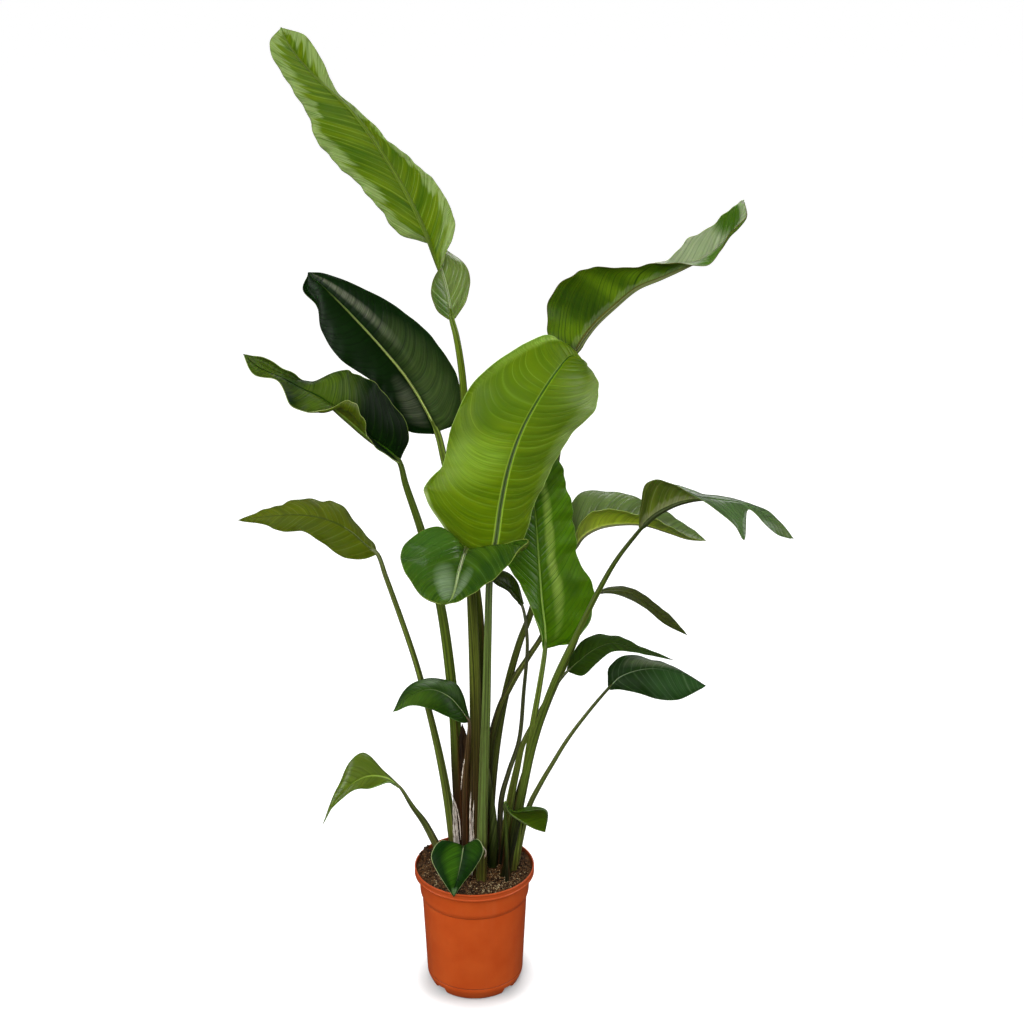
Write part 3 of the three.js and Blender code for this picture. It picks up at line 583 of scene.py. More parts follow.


# %% [markdown]
# ## Leaf colours
#
# Young leaves are bright and yellow-green, old ones nearly black-green, and each
# underside is paler than its upper side. So every leaf has its own pair of greens, and
# its own amount of pleating and waving of the margin, up and down (wave) and in and out
# (ripple, in mm). The lean says how far the side veins slant towards the tip, at the
# midrib and more and more towards the margin.
#
# A curl is a stretch of margin that rolls over: the side it is on, the middle and half
# length of the stretch as shares of the blade, its width in mm and how far it turns.

# %% What each leaf looks like
# The patches and pale bands in these looks are painted sheen, highlights and shade.
LOOKS = {
    "tall_left": dict(
        upper=dict(skin="#647835", rib="#a4b288", edge="#5a4a24", line="#93a872",
                   painted_light_patches=[(-0.6, 0.5, 0.1, 0.12, 0.8, "#34501c")]),
        under=dict(skin="#586c03", rib="#5c7a18", rib_tip="#3f5a08", edge="#5f6a30",
                   deep="#345002", roughness=0.48, rib_share=0.5, line="#84a044", crease=0.35,
                   shine=0.22,
                   painted_sheen=("margin", 21, 0.75, "#8c9f62")),
        pleat=1.8, wave=2.0, lean=(1.3, 0.2),
        curls=[(2, 0.62, 0.3, 9, 70), (0, 0.62, 0.3, 9, 70)]),
    "dark_left": dict(
        upper=dict(skin="#081c03", rib="#b0c070", rib_tip="#1c300c", edge="#2c3a14",
                   roughness=0.42, rib_share=0.45, line="#030a02", shine=0.16,
                   painted_light_patches=[(0.36, 0.15, 0.64, 0.3, 0.8, "#5a5e4c"),
                            (0.5, 0.5, 0.2, 0.28, 0.75, "#3a4a22"),
                            (-0.4, 0.35, 0.18, 0.12, 0.7, "#4c5240")]),
        under=dict(skin="#28400a", rib="#8fa848", edge="#2c3a14"),
        pleat=0.35, wave=1.5, lean=(0.5, 0.6), curls=[(0, 0.86, 0.14, 12, 110)]),
    "lower_left": dict(
        upper=dict(skin="#081c03", rib="#3f6418", edge="#6a7a3c", roughness=0.45,
                   line="#1c3408", crease=0.4, shine=0.15,
                   painted_light_patches=[(0, 1.3, 0.5, 0.16, 0.9, "#465c14"),
                            (0, 1.3, 0.9, 0.28, 0.9, "#425612"),
                            (0, 0.4, 0.7, 0.1, 0.6, "#16300a"),
                            (0.7, 0.5, 0.2, 0.2, 0.9, "#040f02")]),
        under=dict(skin="#485604", rib="#6f8f3c", edge="#8f9c5a"),
        pleat=1.2, wave=2.5, ripple=1.2, lean=(0.4, 0.4),
        curls=[(0, 0.42, 0.16, 24, 150), (2, 0.8, 0.14, 12, 120)]),
    "front_large": dict(
        upper=dict(skin="#586f03", rib="#8aa63a", rib_tip="#64820f", edge="#8fa85a", shine=0.3,
                   channel="#2c4a04", roughness=0.42, deep="#465f03", crease=0.25,
                   line="#7c9c34", rib_share=1.0,
                   painted_light_patches=[(-0.55, 0.6, 0.36, 0.09, 0.6, "#7c9c2c"),
                            (-0.4, 0.5, 0.56, 0.14, 0.4, "#3c5a02"),
                            (0.35, 0.4, 0.42, 0.4, 0.5, "#40580a"),
                            (0.0, 1.3, 0.98, 0.14, 0.75, "#84a01c"),
                            (0.98, 0.3, 0.62, 0.4, 0.5, "#8c9f62"),
                            (-0.98, 0.26, 0.76, 0.2, 0.8, "#8cac44"),
                            (-1.0, 0.07, 0.12, 0.16, 0.9, "#a8b878")]),
        under=dict(skin="#7fa83c", rib="#84a82c", edge="#8fae4a"),
        pleat=1.5, wave=1.5, lean=(0.12, 0.5),
        curls=[(0, 0.66, 0.16, 16, 140), (0, 0.26, 0.05, 8, 120)]),
    "behind_right": dict(
        upper=dict(skin="#426703", rib="#94b058", edge="#4c6c20", rib_tip="#6c8c34",
                   rib_share=0.5, line="#284806", crease=0.9,
                   painted_light_patches=[(0.34, 0.13, 0.5, 0.34, 0.7, "#8aa248"),
                            (0.34, 0.1, 0.84, 0.1, 0.5, "#7c9440"),
                            (0.62, 0.16, 0.34, 0.05, 0.7, "#284604"),
                            (-0.4, 0.5, 0.5, 0.5, 0.5, "#2f5404")]),
        under=dict(skin="#5d7c1c", rib="#8fae4e", edge="#8ca45c"),
        pleat=1.3, wave=2.6, ripple=2.2, lean=(0.9, 0.3),
        curls=[(2, 0.16, 0.1, 10, 150), (0, 0.14, 0.1, 9, 150)]),
    "cup": dict(
        upper=dict(skin="#3a560f", rib="#c0cca4", rib_tip="#8fa860", edge="#5c6c2c",
                   roughness=0.2, deep="#203c08", rib_share=0.45, line="#4c6c34", crease=0.3,
                   painted_light_patches=[(0.75, 0.5, 0.3, 0.3, 0.7, "#34581a"),
                            (0.2, 0.24, 0.6, 0.24, 0.5, "#8fa484"),
                            (-0.22, 0.2, 0.6, 0.24, 0.45, "#8fa484"),
                            (-0.7, 0.3, 0.45, 0.3, 0.6, "#12300a"),
                            (0, 1.2, 1.0, 0.14, 0.7, "#4c5c14")]),
        under=dict(skin="#485806", rib="#8fc45c", edge="#7d8f3c"),
        pleat=1.1, wave=2.0, lean=(1.3, 0.2),
        curls=[(0, 0.2, 0.16, 16, 150), (2, 0.85, 0.12, 6, 90)]),
    "mid_left": dict(
        upper=dict(skin="#4b5703", rib="#38440f", rib_tip="#38440f", edge="#4c5a1c",
                   roughness=0.6, rib_share=0.5, line="#66743a", crease=0.3, shine=0.2,
                   painted_light_patches=[(-0.6, 0.5, 0.4, 0.6, 0.6, "#384604")]),
        under=dict(skin="#657a14", rib="#7f8f34", edge="#5c6c2c"),
        pleat=1.0, wave=3.0, lean=(0.8, 0.3)),
    "small_left": dict(
        upper=dict(skin="#1d3a03", rib="#9cac7c", edge="#3c5a24", roughness=0.42, shine=0.3,
                   rib_share=0.3, line="#10240a",
                   painted_light_patches=[(-0.5, 0.8, 0.82, 0.32, 0.75, "#3f5c12"),
                            (0.6, 0.4, 0.5, 0.3, 0.4, "#5c7a44")]),
        under=dict(skin="#5a7a20", rib="#6f8f34", edge="#5c7c3c"),
        pleat=0.7, wave=1.0, lean=(0.8, 0.3)),
    "low_left": dict(
        upper=dict(skin="#516513", rib="#8fa848", edge="#4c6c2c"),
        under=dict(skin="#6c8a34", rib="#8fa848", edge="#6c8c4c"),
        pleat=0.5, wave=1.0, lean=(0.9, 0.3), curls=[(0, 0.22, 0.2, 7, 150)]),
    "heart": dict(
        upper=dict(skin="#0b2803", rib="#9cac7c", edge="#a4b080", roughness=0.48, rib_share=0.35,
                   shine=0.15,
                   painted_light_patches=[(0.3, 0.34, 0.45, 0.4, 0.75, "#345c0a"),
                            (-0.6, 0.4, 0.25, 0.3, 0.6, "#2a4c0e"),
                            (0.0, 0.5, 0.9, 0.1, 0.6, "#6c8c5c")]),
        under=dict(skin="#4c7020", rib="#5c8c34", edge="#8fa060"),
        pleat=0.4, wave=1.0, lean=(0.7, 0.3)),
    "tiny_right": dict(
        upper=dict(skin="#344e0a", rib="#8c9c5c", edge="#3c5a1c", rib_share=0.5),
        under=dict(skin="#3d5403", rib="#8c9c5c", edge="#2c4010", rib_share=0.5,
                   painted_light_patches=[(0.5, 0.6, 0.3, 0.3, 0.6, "#203808")]),
        pleat=0.5, wave=1.0, lean=(0.7, 0.3)),
    "right_low": dict(
        upper=dict(skin="#122a04", rib="#7c8c6c", edge="#344c24", roughness=0.45, rib_share=0.3,
                   line="#5c7050", crease=0.25, shine=0.25,
                   painted_light_patches=[(-0.5, 0.4, 0.55, 0.24, 0.7, "#565f48"),
                            (0.4, 0.7, 0.8, 0.34, 0.8, "#24421c")]),
        under=dict(skin="#3c5c20", rib="#3c5c24", edge="#344c24"),
        pleat=0.6, wave=2.0, lean=(0.8, 0.3)),
    "right_fold": dict(
        upper=dict(skin="#223803", rib="#5c6c3c", edge="#34501c", roughness=0.6, rib_share=0.3,
                   shine=0.15),
        under=dict(skin="#4c6c20", rib="#4c6c24", edge="#34501c"),
        pleat=0.8, wave=2.5, ripple=1.2, lean=(0.8, 0.3)),
    "droop": dict(
        upper=dict(skin="#323b03", rib="#4c5820", edge="#34401c", roughness=0.55, rib_share=0.4,
                   shine=0.25),
        under=dict(skin="#4c5c20", rib="#5c6c24", edge="#34401c"),
        pleat=0.6, wave=1.0, ripple=1.0, lean=(0.8, 0.3)),
    "right_torn": dict(
        upper=dict(skin="#455d33", rib="#5c704c", edge="#34501c", roughness=0.3, rib_share=0.4,
                   painted_light_patches=[(0, 1.5, 1.0, 0.16, 0.8, "#4c5c2c"),
                            (-0.8, 0.4, 0.5, 0.2, 0.5, "#6c7c5c")]),
        under=dict(skin="#697822", rib="#2c380c", rib_tip="#2c380c", edge="#4c5c24",
                   deep="#38460c", line="#8c9068", crease=0.4,
                   painted_sheen=("reach", 12, 0.5, "#8c8e6c")),
        pleat=1.3, wave=1.5, lean=(0.7, 0.3)),
    "right_back": dict(
        upper=dict(skin="#586c35", rib="#94a044", edge="#3c5424", roughness=0.32,
                   line="#34482c", painted_light_patches=[(0, 1.5, 0.0, 0.16, 0.6, "#4c5028")]),
        under=dict(skin="#94a725", rib="#94a044", edge="#8a9a4c", line="#5c6c0c", crease=0.6,
                   painted_light_patches=[(0, 1.5, 0.96, 0.36, 0.9, "#5c6c40"),
                            (0, 1.5, 0.0, 0.3, 0.85, "#4c5628")]),
        pleat=1.1, wave=1.5, lean=(0.7, 0.3)),
    "upper_right": dict(
        # The pale grey-green of this upper side is painted sheen over the leaf's green.
        upper=dict(skin="#8f987b", rib="#b0bc9c", edge="#8f9f5c", roughness=0.26,
                   deep="#728458", line="#405828", crease=0.6,
                   painted_light_patches=[(-0.7, 0.9, 0.86, 0.08, 1.7, "#345404"),
                            (0.9, 0.7, 0.73, 0.1, 1.5, "#45661c")]),
        under=dict(skin="#435b03", rib="#4c4c1c", rib_tip="#4c4c1c", edge="#4c4418",
                   deep="#2c4602", rib_share=0.5, line="#1c3402", crease=0.9, shine=0.2,
                   painted_sheen=("reach", 10, 0.25, "#8c9470"),
                   painted_light_patches=[(0, 1.3, 0.12, 0.06, 0.7, "#5f7c0c"),
                            (0, 1.3, 0.24, 0.05, 0.7, "#1c3402"),
                            (0, 1.3, 0.34, 0.03, 0.6, "#5f7c0c"),
                            (0, 1.3, 0.45, 0.05, 0.6, "#5c7a10"),
                            (0, 1.3, 0.56, 0.03, 0.6, "#1c3402")]),
        pleat=1.6, wave=2.0, ripple=1.6, lean=(1.4, 0.3),
        curls=[(2, 0.86, 0.12, 8, 130)]),
    "dark_back": dict(
        upper=dict(skin="#263403", rib="#3c4c20", edge="#1c2c10", shine=0.25),
        under=dict(skin="#1c2c10", rib="#3c4c20", edge="#1c2c10"),
        pleat=0.4, wave=1.0, lean=(0.7, 0.3)),
}
UPPER_ROUGHNESS, UNDER_ROUGHNESS = 0.32, 0.48

# %% [markdown]
# ## Blades
#
# A blade is a sheet about a millimetre thick. It is made as a grid of points: rows
# along the midrib every few millimetres, and columns from margin to margin, closer
# together at the midrib, where the groove needs them. Each half arches between its
# rails, and the veins' pleats, the waves of the margin and the rolled edges are added
# to the points themselves, because a shape that catches light and shadow has to be
# real. Both faces are then offset from that middle surface and joined at the rim.

# %% Build a blade's middle surface
BLADE_CAMBER = 0.1
ROW_STEP = 2.4
ACROSS = np.linspace(0, 1, 26) ** 1.5
ROLL_COLUMNS = 7
VEIN_DRIFTS = ((2.6, 47.0), (1.2, 23.0))
PLEAT_HEIGHT, PLEAT_MIDDLE = 0.6, 0.64
WAVE_LENGTH, SHORT_WAVE = 68.0, 0.43
CALM_WIDTH, CALM_ENDS = 40, 0.1
NATURAL_ROLL_WIDTH, NATURAL_ROLL = 1.4, 35
NARROWEST = 0.6


def roll_shape(look, side, t):
    """Width of the rolled edge, and the angle that it turns, along one margin."""
    wide = np.full(len(t), NATURAL_ROLL_WIDTH)
    turn = np.full(len(t), math.radians(NATURAL_ROLL))
    for curl_side, middle, half, curl_width, degrees in look.get("curls", ()):
        if curl_side == side:
            share = np.clip(1 - ((t - middle) / half) ** 2, 0, 1) ** 0.75
            wide = wide + share * curl_width
            turn = turn + share * (math.radians(degrees) - turn)
    return wide, turn


def roll(points, up, wide, turn):
    """The edge turned up along an arc, so that its outermost line is the margin rail."""
    out = unit(points[:, -1] - points[:, -3])
    lift = unit(np.cross(np.cross(out, up), out))
    e = np.arange(1, ROLL_COLUMNS + 1)[None, :] / ROLL_COLUMNS
    angle = turn[:, None] * e
    radius = (wide / turn)[:, None]
    return (points[:, -1:] + out[:, None] * (radius * np.sin(angle))[..., None]
            + lift[:, None] * (radius * (1 - np.cos(angle)))[..., None])


def half_blade(leaf, look, side, t, mm, rng):
    """Points of one half from midrib to rolled edge, with what the material needs."""
    rib, left, right = leaf["rails"]
    centre, heading = rib.at(t), rib.along(t)
    sign = -1 if side == 0 else 1
    reach = (left if side == 0 else right).at(t) - centre
    wide, turn = roll_shape(look, side, t)
    rail = np.linalg.norm(reach, axis=1)
    past = wide / turn * np.sin(np.minimum(turn, math.pi / 2)) - NATURAL_ROLL_WIDTH
    width = np.maximum(rail - np.maximum(past, 0), NARROWEST * rail)
    phases = rng.uniform(0, 2 * math.pi, 4)
    wave = np.sin(2 * math.pi * mm / WAVE_LENGTH + phases[2])
    wave += 0.5 * np.sin(2 * math.pi * mm / (SHORT_WAVE * WAVE_LENGTH) + phases[3])
    calm = (np.clip(width / CALM_WIDTH, 0, 1) * np.clip(t / CALM_ENDS, 0, 1)
            * np.clip((1 - t) / CALM_ENDS, 0, 1))
    width = width + look.get("ripple", 0) * wave * calm
    reach = unit(reach) * width[:, None]
    up = unit(np.cross(sign * reach, heading))
    lean, sweep = look["lean"]
    a = ACROSS[None, :]
    x = a * width[:, None]
    vein = mm[:, None] - lean * x - sweep * x * a ** 2
    vein = vein + sum(size * np.sin(2 * math.pi * vein / length + phase)
                      for (size, length), phase in zip(VEIN_DRIFTS, phases))
    pleat = np.abs(np.sin(math.pi * vein / CREASE_SPACING)) - PLEAT_MIDDLE
    pleat *= look["pleat"] * PLEAT_HEIGHT * np.sin(math.pi * np.clip(a, 0, 1) ** 0.7)
    lift = 4 * BLADE_CAMBER * a * (1 - a) * width[:, None] + pleat * calm[:, None]
    lift += look["wave"] * (wave * calm)[:, None] * a ** 3
    points = centre[:, None] + reach[:, None] * a[..., None] + up[:, None] * lift[..., None]
    return points, vein, x, roll(points, up, wide, turn), width


# %% Give a sheet its two faces and a rim
def sheet_mesh(middle, offset_up, offset_down):
    rows, columns = middle.shape[:2]
    along = np.gradient(middle, axis=0)
    across = np.gradient(middle, axis=1)
    normal = unit(np.cross(across, along))
    upper = (middle + normal * offset_up[..., None]).reshape(-1, 3)
    lower = (middle - normal * offset_down[..., None]).reshape(-1, 3)
    index = np.arange(rows * columns).reshape(rows, columns)
    a, b, c, d = index[:-1, :-1], index[:-1, 1:], index[1:, 1:], index[1:, :-1]
    top = np.stack([a, b, c, d], -1).reshape(-1, 4)
    below = rows * columns
    under = (np.stack([a, d, c, b], -1) + below).reshape(-1, 4)
    ring = np.concatenate([index[0, :-1], index[:-1, -1], index[-1, :0:-1], index[:0:-1, 0]])
    after = np.roll(ring, -1)
    rim = np.stack([ring, ring + below, after + below, after], -1)
    faces = np.vstack([top, under, rim]).tolist()
    kinds = [0] * len(top) + [1] * (len(under) + len(rim))
    return np.vstack([upper, lower]), faces, kinds


# %% Make every blade
HALF_THICKNESS, LENGTH_SAMPLES = 0.45, 400
GROOVE_DEPTH, GROOVE_WIDTH, RIB_HUMP = 0.5, 0.62, 1.4
RIB_TAPER, RIB_TIP_RADIUS = 0.8, 0.3


def rib_radius(leaf, t):
    return leaf["radius"][1] * (1 - np.asarray(t)) ** RIB_TAPER + RIB_TIP_RADIUS


def make_blade(name, leaf, look):
    rng = np.random.default_rng(sum(map(ord, name)))
    rib = leaf["rails"][0]
    length = lengths(rib.at(np.linspace(0, 1, LENGTH_SAMPLES)))[-1]
    t = np.linspace(0, 1, int(length / ROW_STEP) + 1)
    mm = lengths(rib.at(t))
    radius = rib_radius(leaf, t)[:, None]
    halves = []
    for side in (0, 2):
        points, vein, x, rolled, width = half_blade(leaf, look, side, t, mm, rng)
        before = np.concatenate([points[:, -1:], rolled[:, :-1]], 1)
        past = np.cumsum(np.linalg.norm(rolled - before, axis=2), 1)
        reach = np.concatenate([x, width[:, None] + past], 1)
        half = [np.concatenate([points, rolled], 1),
                np.concatenate([vein, vein[:, -1:] - look["lean"][0] * past], 1),
                reach, reach[:, -1:] - reach,
                (1 if side else -1) * reach / reach[:, -1:], reach / radius,
                -GROOVE_DEPTH * radius * np.exp(-(reach / (GROOVE_WIDTH * radius)) ** 2)]
        halves.append(half if side else [values[:, :0:-1] for values in half])
    middle, *values, groove = (np.concatenate(both, 1) for both in zip(*halves))
    thick = np.full(groove.shape, HALF_THICKNESS)
    points, faces, kinds = sheet_mesh(middle, thick + groove, thick - RIB_HUMP * groove)
    fields = {key: np.tile(value.ravel(), 2)
              for key, value in zip(("vein", "reach", "margin", "across", "rib"), values)}
    fields["along"] = np.tile(np.repeat(t, groove.shape[1]), 2)
    upper = leaf_skin(f"leaf_cuticle_above_{name}",
                      **{"roughness": UPPER_ROUGHNESS, **look["upper"]})
    under = leaf_skin(f"leaf_cuticle_below_{name}",
                      **{"roughness": UNDER_ROUGHNESS, **look["under"]})
    piece(f"leaf_{name}", points, faces, [upper, under], [f"blade_{name}"],
          kinds, fields)
    print(f"blade {name}: {length:.0f} mm long, {len(faces)} faces")


for leaf_name, leaf in LEAVES.items():
    leaf["rails"] = blade_rails(leaf)
    make_blade(leaf_name, leaf, LOOKS[leaf_name])

# %% [markdown]
# ## Stalks
#
# A leaf stalk is a firm, juicy rod with a channel along its upper side, and it runs on
# under the blade as the midrib. Low down it widens into a sheath with thin, browning
# edges. It is made as one tube from the soil to the leaf's tip: rings of points whose
# outline dips at the channel and stands out at the sheath's two lips. The direction of
# the channel is taken from the blade and carried down the stalk without twisting.

# %% Stalk material: smooth green rind, dark at the foot: partly a drying brown sheath, partly painted shade
# Each row: foot, green, top, and how far up the brown foot reaches. A dark foot is partly the
# brown of a drying sheath and partly painted shade near the soil, and tiny_right's rind is
# darkened as painted shade among the other stalks.
RIND_LOOKS = {
    "tall_left": ("#120a04", "#4a5a10", "#4c6012", 0.6),
    "dark_left": ("#120a04", "#4a5a10", "#505e20", 0.5),
    "lower_left": ("#201006", "#445416", "#3a4816", 0.3),
    "front_large": ("#3a3c14", "#50602c", "#4a5834", 0.12),
    "behind_right": ("#3a3c14", "#5a6a26", "#5f7236", 0.1),
    "cup": ("#302410", "#444c18", "#404c22", 0.35),
    "mid_left": ("#545424", "#505c22", "#58603a", 0.12),
    "small_left": ("#2a1a0c", "#48361e", "#5c4f3c", 0.5),
    "low_left": ("#54542c", "#4c5628", "#545c34", 0.3),
    "heart": ("#2c2c10", "#3c4a14", "#44581c", 0.3),
    "tiny_right": ("#14160a", "#2c3810", "#46522c", 0.4),
    "right_low": ("#4c5420", "#525c2c", "#3e4820", 0.1),
    "right_fold": ("#10120a", "#4c5620", "#5c6440", 0.2),
    "droop": ("#24240c", "#3a4410", "#44501c", 0.2),
    "right_torn": ("#141808", "#46551a", "#2c3612", 0.2),
    "right_back": ("#24240c", "#444a1e", "#5a6038", 0.3),
    "upper_right": ("#302c14", "#3c4418", "#545c34", 0.2),
    "dark_back": ("#2c2c1c", "#3e4228", "#4a4e36", 0.2),
    "shoot": ("#141c06", "#3a441e", "#5a6038", 0.3),
}
RIND_STREAKS, RIND_SPOTS = (0.4, 0.004), (0.25, 0.05)


def stalk_rind(name):
    foot, green, top, brown_to = RIND_LOOKS[name]
    material, tree = new_material(f"stalk_rind_{name}")
    climb, around, mm, lip = (add(tree, "Attribute", out="Fac", attribute_name=key)
                              for key in ("climb", "around", "length", "lip"))
    streak = streaks(tree, around, mm, RIND_STREAKS, 3.0)
    spots = streaks(tree, around, mm, RIND_SPOTS, 4.0)
    # The foot colour is partly dry brown sheath, partly painted shade near the soil.
    tone = lay(tree, foot, green, climb, 0.3 * brown_to, 1.2 * brown_to,
               interpolation_type="SMOOTHSTEP")
    tone = lay(tree, tone, top, climb, 0.7, 1.05, interpolation_type="SMOOTHSTEP")
    shade = add(tree, "MapRange", {0: streak, 1: 0.36, 2: 0.64, 3: 0.45, 4: 1.7})
    tone = add(tree, "VectorMath", {0: tone, "Scale": shade}, operation="SCALE")
    tone = lay(tree, tone, "#3a3412", spots, 0.55, 0.75, 0.35)
    tone = lay(tree, tone, "#4a2a14", lip, 0.0, 1.0, min(2 * brown_to, 1.0))
    surface(tree, {"Base Color": tone, "Roughness": 0.38, "IOR": WAX_IOR,
                   "Specular IOR Level": WAX_SHINE, "Subsurface Weight": 0.15,
                   "Subsurface Radius": GREEN_LIGHT, "Subsurface Scale": 0.002},
            streak, bump=0.4, depth=0.0005)
    return material


# %% Make every stalk, running on as the midrib
RING_STEP, RING_POINTS = 5.0, 36
STALK_SAMPLES, RIB_SAMPLES, RIB_END = 600, 500, 0.97
SINK_LENGTH, RIB_SHARE, RIB_CLEARANCE = 0.07, 0.8, 0.2
SHEATH_SHARE = 0.5
CHANNEL_LOW, CHANNEL_GAIN, CHANNEL_WIDTH = 0.18, 0.5, 0.5
CHANNEL_START, CHANNEL_RISE = 0.75, 0.25
LIP_HEIGHT, LIP_ANGLE, LIP_SPREAD = 0.3, 0.66, 0.17


def stalk_course(leaf):
    """Centre points, radius, share climbed and upward direction of each ring."""
    points = [leaf["foot"] + [FOOT_DEPTH]] + leaf["stalk"] + [leaf["base"]]
    spans = len(points) - 1
    path = Rail(points + [leaf["sections"][0][1]])
    climb = np.linspace(0, 1, STALK_SAMPLES)
    lower = path.at(climb * spans / (spans + 1))
    rib, left, right = leaf["rails"]
    t = np.linspace(0, RIB_END, RIB_SAMPLES)[1:]
    centre, heading = rib.at(t), rib.along(t)
    up = unit(unit(np.cross(centre - left.at(t), heading))
              + unit(np.cross(right.at(t) - centre, heading)))
    radius = rib_radius(leaf, t)
    sink = np.clip(t / SINK_LENGTH, 0, 1)
    sink = sink * sink * (3 - 2 * sink)
    upper = centre - up * ((radius * RIB_SHARE + RIB_CLEARANCE) * sink)[:, None]
    r0, r1 = leaf["radius"]
    centres = np.vstack([lower, upper])
    radii = np.concatenate([r0 + (r1 - r0) * climb, radius])
    climbed = np.concatenate([climb, 1 + t])
    ups = np.vstack([np.tile(up[0], (len(lower), 1)), up])
    mm = lengths(centres)
    places = np.linspace(0, mm[-1], int(mm[-1] / RING_STEP))
    centres, ups = (np.stack([np.interp(places, mm, v) for v in values.T], -1)
                    for values in (centres, ups))
    return centres, np.interp(places, mm, radii), np.interp(places, mm, climbed), ups, places


def carry_down(ups, heading, climbed):
    """Keeps the channel's direction square to the stalk, from the blade downwards."""
    ups = ups.copy()
    for i in range(len(ups) - 1, -1, -1):
        if climbed[i] < 1:
            ups[i] = ups[i + 1]
        ups[i] = unit(ups[i] - ups[i].dot(heading[i]) * heading[i])
    return ups


def make_stalk(name, leaf, material):
    centres, radii, climbed, ups, mm = stalk_course(leaf)
    heading = unit(np.gradient(centres, axis=0))
    ups = carry_down(ups, heading, climbed)
    u = np.linspace(-1, 1, RING_POINTS, endpoint=False)
    phi = math.pi * np.sign(u) * np.abs(u) ** 1.5
    share = climbed[:, None]
    channel = CHANNEL_LOW + CHANNEL_GAIN * np.clip((share - CHANNEL_START) / CHANNEL_RISE, 0, 1)
    low = np.clip(1 - share / SHEATH_SHARE, 0, 1)
    lips = LIP_HEIGHT * low ** 0.7 * np.exp(-((np.abs(phi) - LIP_ANGLE) / LIP_SPREAD) ** 2)
    ring = radii[:, None] * (1 - channel * np.exp(-(phi / CHANNEL_WIDTH) ** 2) + lips)
    points, faces = tube(centres, ups, np.cross(heading, ups), ring, phi)
    fields = {"climb": np.repeat(climbed, RING_POINTS),
              "around": (phi[None] * radii[:, None]).ravel(),
              "length": np.repeat(mm, RING_POINTS),
              "lip": (np.clip(lips * 4 * (low > 0.02), 0, 1) * np.ones_like(ring)).ravel()}
    piece(f"petiole_{name}", points.reshape(-1, 3), faces, [material],
          [f"stalk_{name}"], fields=fields)


for leaf_name, leaf in LEAVES.items():
    make_stalk(leaf_name, leaf, stalk_rind(leaf_name))
print("stalks made:", len(LEAVES))

# %% [markdown]
# ## The new leaf and the old sheaths
#
# A new leaf comes up rolled into a pointed spike: its cross section is a spiral, whose
# outer edge shows as a seam that winds slowly upward. Round the oldest stalks stand
# what is left of dead sheaths: dry, papery strips, pale tan with brown fibres, curled
# and torn at the edge. They are thin sheets crumpled with noise, made like the blades.
# A few narrow strands have split off them and lie against the stalks in front. They
# could be curves with a flat bevel, but then they would have no fibres of their own.

# %% The rolled new leaf
SHOOT = dict(foot=[31, 5], radius=[10, 1.2], stalk=[[34, 6, 300], [31, 6, 350]],
             base=[26, 4, 412])
ROLL_STEP_SHARE, SEAM_TURNS, SHOOT_RINGS = 0.2, 0.7, 70


def make_shoot(shoot, material):
    path = Rail([shoot["foot"] + [FOOT_DEPTH]] + shoot["stalk"] + [shoot["base"]])
    t = np.linspace(0, 1, SHOOT_RINGS)
    centres, heading = path.at(t), path.along(t)
    side = unit(np.cross(np.tile([0.0, 1, 0], (len(t), 1)), heading))
    turn = np.linspace(0, 2 * math.pi, RING_POINTS, endpoint=False)[None, :]
    start, end = shoot["radius"]
    full = start + (end - start) * t ** 1.3
    ring = full[:, None] * (1 - ROLL_STEP_SHARE * turn / (2 * math.pi))
    phi = turn + (2 * math.pi * SEAM_TURNS * t)[:, None]
    points, faces = tube(centres, side, np.cross(heading, side), ring, phi)
    mm = t * np.linalg.norm(points[-1, 0] - points[0, 0])
    fields = {"climb": np.repeat(t, RING_POINTS), "around": (turn * full[:, None]).ravel(),
              "length": np.repeat(mm, RING_POINTS), "lip": np.zeros(ring.size)}
    piece("shoot_rolled_leaf", points.reshape(-1, 3), faces, [material],
          ["new_shoot"], fields=fields)


make_shoot(SHOOT, stalk_rind("shoot"))

# %% Dry paper, for sheaths and strands
PAPER_FIBRES, PAPER_STAINS = (1.1, 0.02), 70.0


def dry_paper(name, pale, brown):
    material, tree = new_material(name)
    across, mm = (add(tree, "Attribute", out="Fac", attribute_name=key)
                  for key in ("vein", "length"))
    fibres = streaks(tree, across, mm, PAPER_FIBRES, 4.0)
    place = add(tree, "TexCoord", out="Object")
    stains = add(tree, "TexNoise", {"Vector": place, "Scale": PAPER_STAINS, "Detail": 4.0})
    tone = lay(tree, brown, pale, fibres, 0.42, 0.56)
    tone = lay(tree, tone, brown, stains, 0.5, 0.72)
    surface(tree, {"Base Color": tone, "Roughness": 0.8, "IOR": 1.4}, fibres, bump=0.6,
            depth=0.0005)
    return material


def paper_piece(name, middle, half_thickness, across, mm, material, replaces=()):
    thick = np.full(middle.shape[:2], half_thickness)
    points, faces, _ = sheet_mesh(middle, thick, thick)
    fields = {"vein": np.tile(across * 5 + 0 * thick, (2, 1)).ravel(),
              "length": np.tile(mm[:, None] + 0 * thick, (2, 1)).ravel()}
    piece(name, points, faces, [material], replaces, fields=fields, sharp=80)


